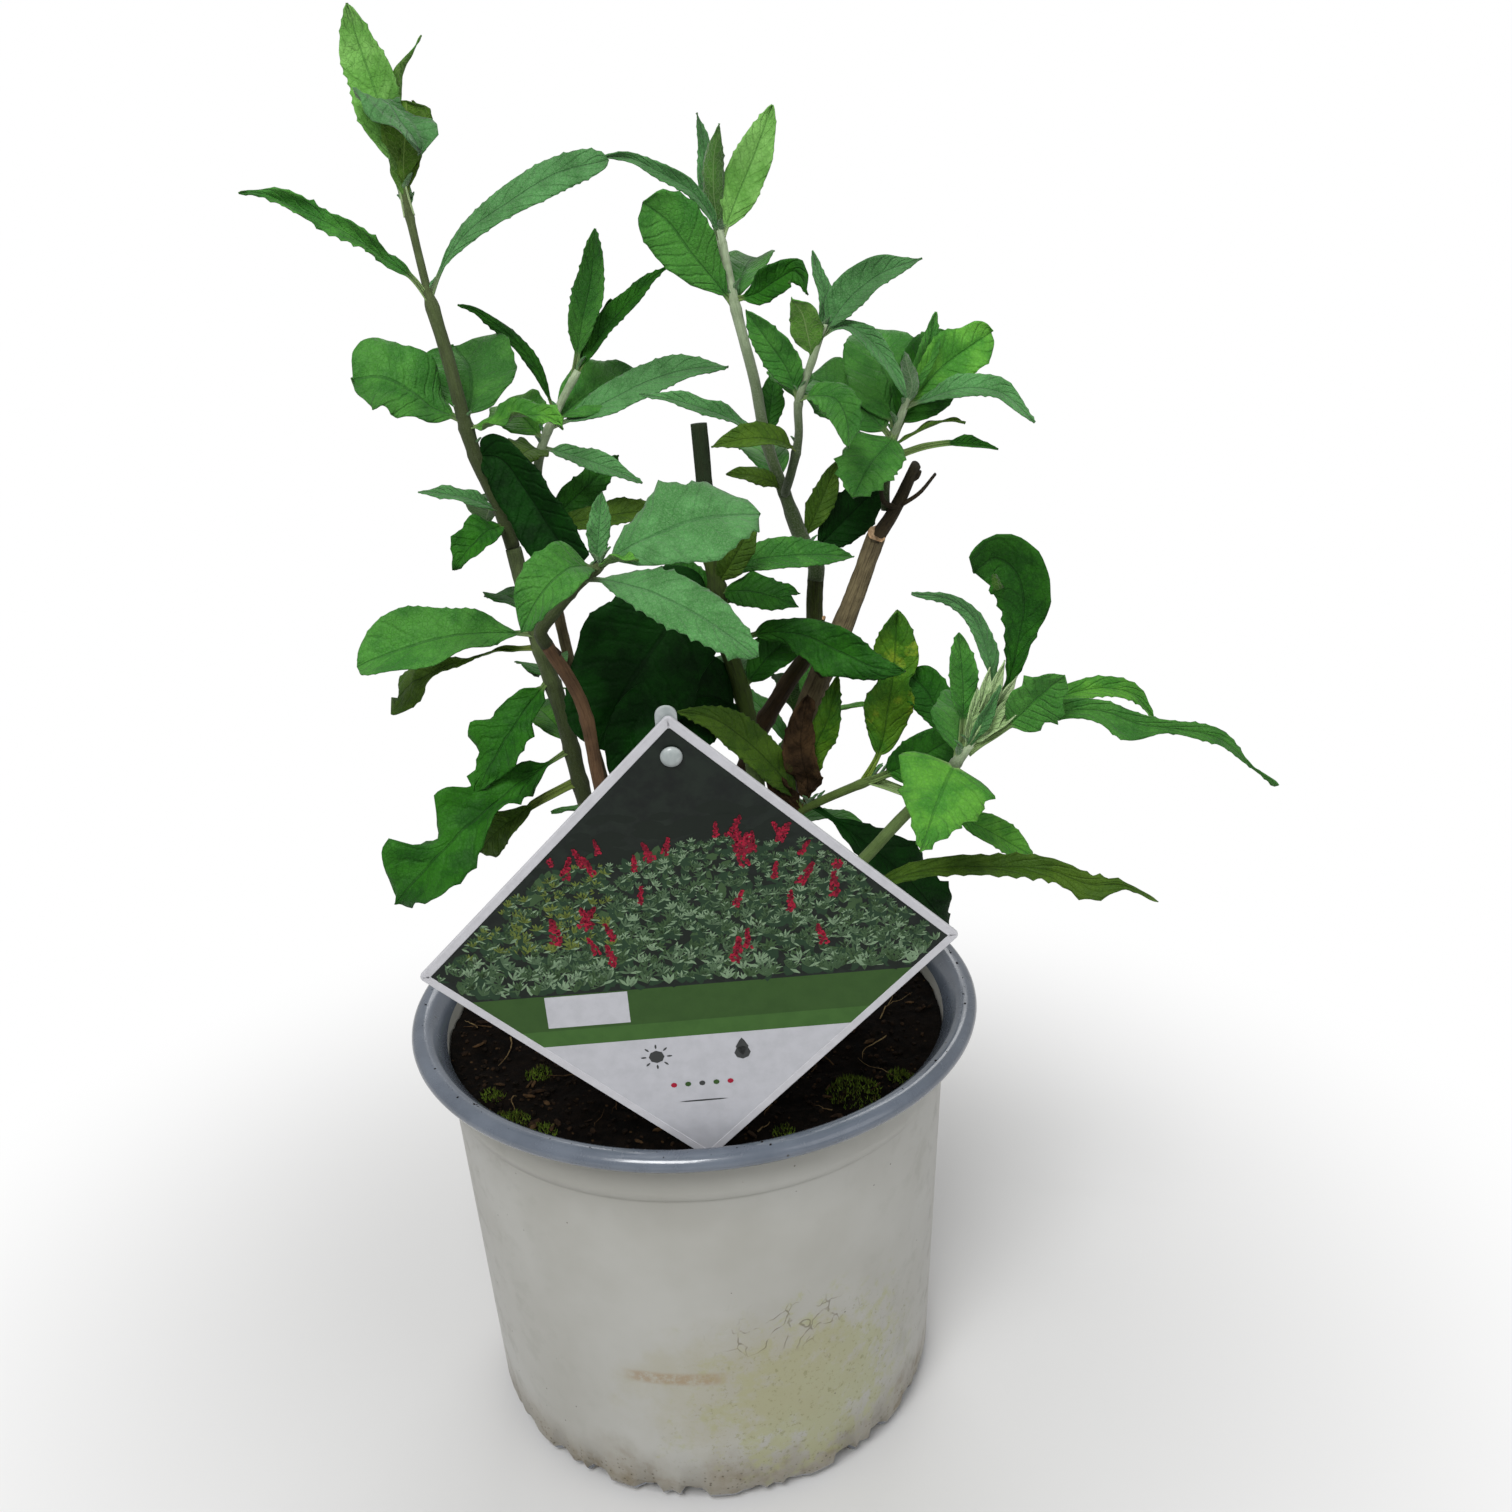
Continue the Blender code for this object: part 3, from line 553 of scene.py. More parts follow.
BARK_FINISHES: dict[Bark, BarkFinish] = {
    Bark.WOODY: BarkFinish((58, 42, 24), (122, 110, 80), (40, 30, 16), (0.35, 0.85), 0.0, 0.9, 0.75),
    Bark.REDDISH: BarkFinish((60, 46, 26), (114, 86, 60), (50, 36, 22), (0.3, 0.8), 0.0, 0.7, 0.6),
    Bark.GREEN: BarkFinish((80, 104, 32), (98, 122, 66), (56, 78, 22), (0.1, 0.9), 0.06, 0.5, 0.45),
    # the darker foot of the olive and the felted stems is partly their own colour and partly painted shade
    # low in the clump
    Bark.OLIVE: BarkFinish((48, 60, 20), (82, 98, 54), (38, 46, 16), (0.1, 0.9), 0.06, 0.6, 0.55),
    Bark.FELTED: BarkFinish((38, 60, 10), (176, 194, 158), (62, 86, 36), (0.3, 0.97), 0.25, 0.45, 0.4),
    Bark.STUB: BarkFinish((58, 78, 20), (28, 46, 18), (30, 36, 14), (0.55, 0.8), 0.0, 0.9, 0.65),
    Bark.ROUGH: BarkFinish((74, 56, 34), (62, 76, 24), (36, 28, 16), (0.72, 0.9), 0.0, 1.0, 0.7),
    Bark.DEAD: BarkFinish((56, 46, 26), (52, 46, 28), (28, 22, 12), (0.2, 0.9), 0.0, 0.9, 0.75),
}


def smooth_route(route: Sequence[Triple], spacing: float) -> list[Vector]:
    """Evenly spread points on a smooth curve through the route's points, as the solids have it.

    Args:
        route: points in mm.
        spacing: wanted distance between points, in metres.

    Returns:
        Points in metres.
    """
    points = [Vector(point) * MM for point in route]
    gaps = [(end - start).length for start, end in zip(points, points[1:])]
    slopes = [(end - start) / gap for start, end, gap in zip(points, points[1:], gaps)]
    headings = [slopes[0]]
    for index in range(1, len(slopes)):
        before, after = gaps[index - 1], gaps[index]
        headings.append((slopes[index - 1] * after + slopes[index] * before) / (before + after))
    headings.append(slopes[-1])
    spread = []
    for index, gap in enumerate(gaps):
        count = max(2, round(gap / spacing))
        for step in range(count):
            t = step / count
            spread.append(points[index] * (2 * t ** 3 - 3 * t ** 2 + 1)
                          + points[index + 1] * (3 * t ** 2 - 2 * t ** 3)
                          + headings[index] * gap * (t ** 3 - 2 * t ** 2 + t)
                          + headings[index + 1] * gap * (t ** 3 - t ** 2))
    return spread + [points[-1]]


def carried_frames(points: Sequence[Vector], first: Vector) -> list[tuple[Vector, Vector]]:
    """A tangent and a sideways-free normal at each point, carried along without turning.

    Args:
        points: the route.
        first: the normal wanted at the start.
    """
    frames = []
    normal = first
    for index, point in enumerate(points):
        ahead = points[min(index + 1, len(points) - 1)]
        behind = points[max(index - 1, 0)]
        tangent = (ahead - behind).normalized()
        normal = (normal - tangent * normal.dot(tangent)).normalized()
        frames.append((tangent, normal))
    return frames


def stem_point(route: Sequence[Vector], height: float) -> Vector:
    """Where the stem's middle line is at a height in metres."""
    for low, high in zip(route, route[1:]):
        if low.z <= height <= high.z:
            return low.lerp(high, (height - low.z) / max(high.z - low.z, 1e-9))
    return route[-1].copy()


def mesh_piece(name: str, shape: BMesh, finishes: Iterable[Material],
               smooth: bool = True) -> bpy.types.Object:
    """Turns a finished bmesh into a piece at the origin that rides on the part.

    Args:
        name: the piece's name.
        shape: its mesh, which is freed.
        finishes: its material slots.
        smooth: whether its faces are shaded smooth.
    """
    for face in shape.faces:
        face.smooth = smooth
    mesh = bpy.data.meshes.new(name)
    shape.to_mesh(mesh)
    shape.free()
    piece = bpy.data.objects.new(name, mesh)
    bpy.context.scene.collection.objects.link(piece)
    for finish in finishes:
        mesh.materials.append(finish)
    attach(piece, "root")
    LOG.info("%s: %d faces", name, len(mesh.polygons))
    return piece


def faces_of(verts: Iterable[bmesh.types.BMVert]) -> set[bmesh.types.BMFace]:
    """The faces that touch any of the vertices."""
    return {face for vertex in verts for face in vertex.link_faces}


def wrap_tube(shape: BMesh, points: Sequence[Vector], radius: Callable[[float, float], float],
              around: int, slot: int = 0, cap_slot: Optional[int] = None, blunt: bool = False) -> None:
    """Wraps a grid round a route, so that the tube has a map across and along.

    Args:
        shape: the bmesh to add to.
        points: the route, in metres.
        radius: gives the radius in metres from the turn (radians) and the share along.
        around: faces round the tube.
        slot: material slot of the wall.
        cap_slot: material slot of the far end, or the wall's.
        blunt: whether the far end is cut off, on a slant.
    """
    rows = len(points) - 1
    made = bmesh.ops.create_grid(shape, x_segments=around, y_segments=rows, size=1.0, calc_uvs=True)
    frames = carried_frames(points, Vector((0, -1, 0.01)))
    for vertex in made["verts"]:
        turn = (vertex.co.x + 1) * pi
        row = round((vertex.co.y + 1) / 2 * rows)
        tangent, normal = frames[row]
        binormal = tangent.cross(normal)
        reach = radius(turn % ROUND, row / rows)
        vertex.co = points[row] + (normal * cos(turn) + binormal * sin(turn)) * reach
        if blunt and row == rows:
            vertex.co -= tangent * (reach * CUT_SLANT * cos(turn))
    for face in faces_of(made["verts"]):
        face.material_index = slot
    bmesh.ops.remove_doubles(shape, verts=made["verts"], dist=1e-7)
    alive = [vertex for vertex in shape.verts if vertex.is_boundary]
    edges = list({edge for vertex in alive for edge in vertex.link_edges if edge.is_boundary})
    if edges:
        filled = bmesh.ops.holes_fill(shape, edges=edges)["faces"]
        for face in filled:
            middle = face.calc_center_median()
            top = (middle - points[-1]).length < (middle - points[0]).length
            face.material_index = cap_slot if cap_slot is not None and top and blunt else slot


@dataclass
class LeafShaper:
    """Adds leaves to a joined mesh.

    Args:
        columns: faces across a blade that is wider than so many mm, from wide to narrow.
        pairs: pairs of side veins.
        lean: how far a side vein leans forward by the margin, as a share of the leaf.
        fold: how far the two halves stand up from the midrib.
        tip: half width just before the tip, as a share of the blade's.
        quilting: how far the blade puffs up between its side veins, as a share of its half width.
        lobe_span: how long a lobe is, as a share of the leaf.
        tooth: how far each step of a tooth stands out, as a share of its depth.
    """
    columns: tuple[tuple[float, int], ...] = ((7, 14), (3, 8), (0, 4))
    pairs: float = 10.0
    lean: float = 0.16
    fold: float = 0.28
    tip: float = 0.05
    quilting: float = 0.017
    lobe_span: float = 0.075
    tooth: tuple[float, ...] = (0.0, 0.45, 1.0, 0.25)

    def half_width(self, share: float, leaf: Leaf) -> float:
        """Half the blade's width along the leaf, as a share of half its full width."""
        stout = 1 + 2.0 * max(0.0, leaf.stalk - 0.1)
        stalk = min(0.5, (0.5 + 0.02 * leaf.width) * stout / (leaf.width / 2))
        if share <= leaf.stalk:
            return stalk * (1 + 0.5 * (1 - share / leaf.stalk) ** 2)
        along = (share - leaf.stalk) / (1 - leaf.stalk)
        rise = leaf.broad * leaf.full
        fall = (1 - leaf.broad) * leaf.full * (1 - 0.62 * leaf.blunt)
        peak = rise / (rise + fall)
        blade = along ** rise * (1 - along) ** fall / (peak ** rise * (1 - peak) ** fall)
        return max(self.tip * (1 - along), stalk * (1 - along) ** 3, blade)

    @staticmethod
    def on_map(share: float, leaf: Leaf) -> float:
        """The share along as the leaf's map has it, with the stalk always in its first tenth."""
        if share < leaf.stalk:
            return share * 0.1 / leaf.stalk
        return 0.1 + (share - leaf.stalk) * 0.9 / (1 - leaf.stalk)

    def midrib(self, leaf: Leaf, root: Vector, rows: int) -> list[tuple[Vector, Vector, Vector]]:
        """The midrib's points, each with the blade's sideways and upward directions."""
        reach = Vector(leaf.reach) * MM
        along = reach.normalized()
        upward = Vector(leaf.faces).normalized()
        if leaf.way:
            path = smooth_route([(0, 0, 0), *leaf.way, leaf.reach], 0.001)
            spread = self._even(path, rows)
            frames = carried_frames(spread, upward)
            made = [(root + point, tangent.cross(normal), normal)
                    for point, (tangent, normal) in zip(spread, frames)]
        else:
            upward = (upward - along * upward.dot(along)).normalized()
            side = along.cross(upward)
            bend = reach * 0.5 + upward * leaf.arch * 2 * MM
            made = []
            for row in range(rows + 1):
                share = row / rows
                place = root + bend * 2 * share * (1 - share) + reach * share ** 2
                tangent = (bend * (1 - 2 * share) * 2 + reach * 2 * share).normalized()
                across = tangent.cross(upward)
                across = across.normalized() if across.length > 0.05 else side
                made.append((place, across, across.cross(tangent)))
        if leaf.twist:
            turned = []
            for row, (place, across, normal) in enumerate(made):
                angle = radians(leaf.twist) * (row / rows) ** 1.2
                spin = Matrix.Rotation(angle, 3, normal.cross(across))
                turned.append((place, spin @ across, spin @ normal))
            made = turned
        return made

    @staticmethod
    def _even(path: Sequence[Vector], rows: int) -> list[Vector]:
        """The path's points spread evenly over a number of rows."""
        lengths = [0.0]
        for start, end in zip(path, path[1:]):
            lengths.append(lengths[-1] + (end - start).length)
        spread = []
        index = 0
        for row in range(rows + 1):
            wanted = lengths[-1] * row / rows
            while index < len(path) - 2 and lengths[index + 1] < wanted:
                index += 1
            share = (wanted - lengths[index]) / max(lengths[index + 1] - lengths[index], 1e-9)
            spread.append(path[index].lerp(path[index + 1], min(1.0, max(0.0, share))))
        return spread

    def add(self, shape: BMesh, leaf: Leaf, root: Vector, slot: int,
            draw: Random) -> None:
        """Adds one leaf: a grid laid along its midrib, with teeth, fold, waves and quilting.

        Args:
            shape: the joined mesh.
            leaf: its row of sizes.
            root: where its midrib starts, in metres.
            slot: material slot of its upper face; its underside takes the next.
            draw: the seeded random source.
        """
        length = Vector(leaf.reach).length
        spacing, bite_depth = leaf.teeth
        teeth = max(3, round(length / spacing))
        rows = teeth * len(self.tooth)
        columns = next(count for least, count in self.columns if leaf.width > least)
        half = leaf.width / 2 * MM
        frames = self.midrib(leaf, root, rows)
        depth = min(bite_depth, leaf.width * (0.06 if bite_depth < 0.6 else 0.15)) * MM
        jitter = {side: [1.5 * draw.random() ** 1.4 * min(1.0, 0.25 + 1.5 * tooth / teeth)
                         for tooth in range(teeth + 1)] for side in (-1, 1)}
        drift = {side: (draw.uniform(0, ROUND), draw.uniform(1.6, 3.4)) for side in (-1, 1)}
        bend = {side: draw.uniform(-0.08, 0.08) for side in (-1, 1)}
        nibble = draw.uniform(0, 100)
        made = bmesh.ops.create_grid(shape, x_segments=columns, y_segments=rows, size=1.0, calc_uvs=True)
        for vertex in made["verts"]:
            u, share = vertex.co.x, (vertex.co.y + 1) / 2
            row = round(share * rows)
            place, across, upward = frames[row]
            side = 1 if u > 0 else -1
            out = abs(u)
            wide = half * self.half_width(share, leaf)
            wide *= 1 + leaf.ragged * 1.6 * noise.noise(Vector((nibble + side * 7, share * 6, 0.3)))
            for spot, gain, flank in leaf.lobes:
                if flank in (0, side):
                    wide *= 1 + gain * exp(-((share - spot) / self.lobe_span) ** 2)
            blade = min(1.0, max(0.0, (share - leaf.stalk) * 8))
            if leaf.roll:
                angle = leaf.roll * out
                width = wide * sin(angle) / leaf.roll
                lift = wide * (1 - cos(angle)) / leaf.roll
            else:
                width, lift = wide * out, 0.0
            if out > 0.99:
                index, step = divmod(row, len(self.tooth))
                width += depth * self.tooth[step] * jitter[side][index] * blade
            lift += wide * out * (self.fold + bend[side])
            phase, waves = drift[side]
            lift += leaf.wave * MM * out ** 2 * sin(ROUND * waves * share + phase) * blade
            phase = self.pairs * (self.on_map(share, leaf) - self.lean * out ** 1.25)
            puff = abs(sin(pi * (phase + (0.35 if side > 0 else 0.0) + 0.5)))
            lift += self.quilting * wide * (puff - 0.5) * 4 * out * (1.05 - out) * blade
            spot = Vector((nibble + out * side * leaf.width / 14, share * length / 7, 0.7))
            lift += leaf.crinkle * MM * blade * (noise.noise(spot) + 0.5 * noise.noise(spot * 2.6))
            vertex.co = place + across * (width * side) + upward * lift
        chart = shape.loops.layers.uv.active
        for face in faces_of(made["verts"]):
            face.material_index = slot
            for corner in face.loops:
                corner[chart].uv.y = self.on_map(corner[chart].uv.y, leaf)


T = Tone
STEM_FOOT = 139.3

LIMBS: dict[str, Shoot] = {
    "left_stem": Shoot(
        ((-18, 0, STEM_FOOT), (-25, -2, 185), (-31, -2, 221)), (3.2, 2.55), bark=Bark.OLIVE,
        rings=(168, 205)),
    "front_left_stem": Shoot(
        ((-12, -14, STEM_FOOT), (-20, -26, 200), (-24, -33, 242), (-27, -39, 270), (-34, -44, 287)),
        (2.1, 1.9), bark=Bark.REDDISH, rings=(214, 262),
        twigs=(Shoot(((-31.6, -42.6, 283.6), (-34.6, -44, 288.4), (-35.6, -44.6, 291)), (1.5, 1.2)),)),
    "back_left_stem": Shoot(
        ((-12, 13, STEM_FOOT), (-23, 21, 200), (-33, 26, 250), (-38, 28, 284)), (2.5, 1.75),
        bark=Bark.WOODY, rings=(190, 240)),
    "centre_stem": Shoot(
        ((7, -6, STEM_FOOT), (18, -6, 190), (24, -4, 222), (23, -3, 236)), (3.4, 2.65), bark=Bark.GREEN,
        rings=(180, 222),
        twigs=(Shoot(((20.6, -6, 236), (17, -6, 250), (11, -6, 257), (5.5, -5, 263)), (1.1, 0.5)),
               Shoot(((24, -5, 231), (24.5, -7.4, 236), (24, -8, 243)), (1.3, 0.9)))),
    "tall_stem": Shoot(
        ((6, 13, STEM_FOOT), (16, 16, 205), (26, 18, 234), (36, 19, 250), (45, 21, 263), (46.6, 21.8, 280),
         (47, 22, 284)), (3.4, 2.6), bark=Bark.ROUGH, rings=(185, 240),
        twigs=(Shoot(((45.2, 18.6, 268), (47.5, 14.6, 271), (48.6, 13.4, 274)), (1.2, 0.6)),)),
    "cut_stem": Shoot(
        ((20, 5, STEM_FOOT), (29, 6, 190), (35, 8, 224), (45, 10, 252), (56, 12, 275), (66, 14, 300)),
        (5.8, 2.9), bark=Bark.WOODY, rings=(170, 215, 262),
        twigs=(Shoot(((47.5, 7, 257), (44.5, 5, 261), (44, 4, 264)), (1.3, 0.7)),
               Shoot(((60, 13, 287), (63.5, 12, 289), (64.4, 11.5, 291.5)), (1.1, 0.6)))),
    "cut_branch": Shoot(
        ((64.6, 14.0, 295.5), (67.4, 15.8, 300), (71, 18, 304.5), (79, 18, 320)), (2.4, 1.7), bark=Bark.DEAD,
        twigs=(Shoot(((73.5, 17.6, 307), (68.8, 16.5, 309.6), (67.6, 16.2, 315)), (1.1, 0.55)),
               Shoot(((76.4, 18, 315.5), (79.5, 17.5, 316.6), (80.3, 17.2, 318.4)), (0.8, 0.5)))),
    "dead_twig": Shoot(
        ((74.4, 17.6, 308.2), (79.6, 17, 311.4), (85, 17, 317.4)), (0.75, 0.5), bark=Bark.DEAD),
    "front_right_stem": Shoot(
        ((14, -16, STEM_FOOT), (35, -21, 184), (55, -34, 211), (66, -39, 226), (76, -43, 238)),
        (2.4, 1.65), bark=Bark.GREEN, rings=(176, 205)),
}


def up_and_around(heights: Sequence[float], lengths: Sequence[float], first_heading: float,
                  rise: Sequence[float], slenderness: float, draw: Random,
                  tones: Sequence[Tone], leave_out: Sequence[int] = ()) -> tuple[Leaf, ...]:
    """Opposite pairs of leaves, each pair a quarter turn on from the pair below.

    Args:
        heights: where the pairs sit, in mm.
        lengths: length of a leaf in the lowest and the highest pair, in mm.
        first_heading: heading of the lowest pair, in degrees.
        rise: how steeply a leaf rises in the lowest and the highest pair, in degrees.
        slenderness: width over length.
        draw: the seeded random source, shared by the shoots.
        tones: finishes to deal out in turn.
        leave_out: leaves that have no room, counted from 0.
    """
    leaves = []
    for step, height in enumerate(heights):
        share = step / max(len(heights) - 1, 1)
        length = lengths[0] + (lengths[1] - lengths[0]) * share
        for side in (0, 180):
            heading = radians(first_heading + 90 * step + side + draw.uniform(-14, 14))
            lift = radians(rise[0] + (rise[1] - rise[0]) * share + draw.uniform(-7, 7))
            span = length * draw.uniform(0.85, 1.1)
            reach = (span * cos(lift) * cos(heading),
                     span * cos(lift) * sin(heading), span * sin(lift))
            tone = tones[len(leaves) % len(tones)]
            leaves.append(Leaf(height, reach, span * slenderness, tone, arch=span * 0.12))
    return tuple(leaf for index, leaf in enumerate(leaves) if index not in leave_out)


def young_leaf(height: float, reach: Triple, width: float, arch: float, faces: Triple) -> Leaf:
    """A narrow leaf that has just opened, white with felt and smooth at its margin."""
    return Leaf(height, reach, width, T.PALE, faces, arch, roll=0.7, teeth=(6.0, 0.05), ragged=0.02,
                crinkle=0.1)


SIDE_TWIG = Shoot(
    ((38, 21, 313), (40, 13, 322), (42, 8, 333), (42, 5, 343), (46, 2, 355), (50, 0, 366)),
    (1.5, 1.0),
    (Leaf(362, (-1.5, 2, 24), 4, T.FELT, FRONT, roll=0.6, way=((2, 1, 12), (0, 1.5, 18.5))),
     Leaf(362, (29, -6, 21), 11.5, T.FELT, FRONT_UP, roll=0.6, full=2.0, broad=0.4,
          way=((8.5, -2, 10.5), (17, -4, 17))),
     Leaf(356, (-6, -8, 18), 10, T.FRESH, BACK, roll=-0.5, way=((-1.5, -3, 7), (-3, -5.5, 13))),
     Leaf(362, (23, -14, -16.5), 5.5, T.FELT, FRONT_UP, roll=0.8,
          way=((7, -3, 3.5), (13.5, -6, -0.5), (19, -10, -7.5))),
     Leaf(344, (12, -22, -11), 10.5, T.MID, FRONT_UP, wave=0.9, teeth=(3.0, 0.8),
          way=((3.5, -3.5, 1.5), (10, -9, 1), (12.5, -14.5, -4))),
     Leaf(344, (-15, -8, 27), 10, T.MID, FRONT, roll=0.4, way=((-4, -3, 10.5), (-9, -5, 18))),
     Leaf(328, (-26, -14, 5), 9, T.OLIVE, FRONT_UP, 5, roll=0.5),
     Leaf(343, (-4, 20, 5), 13, T.MID, UP, 4)), bark=Bark.FELTED)

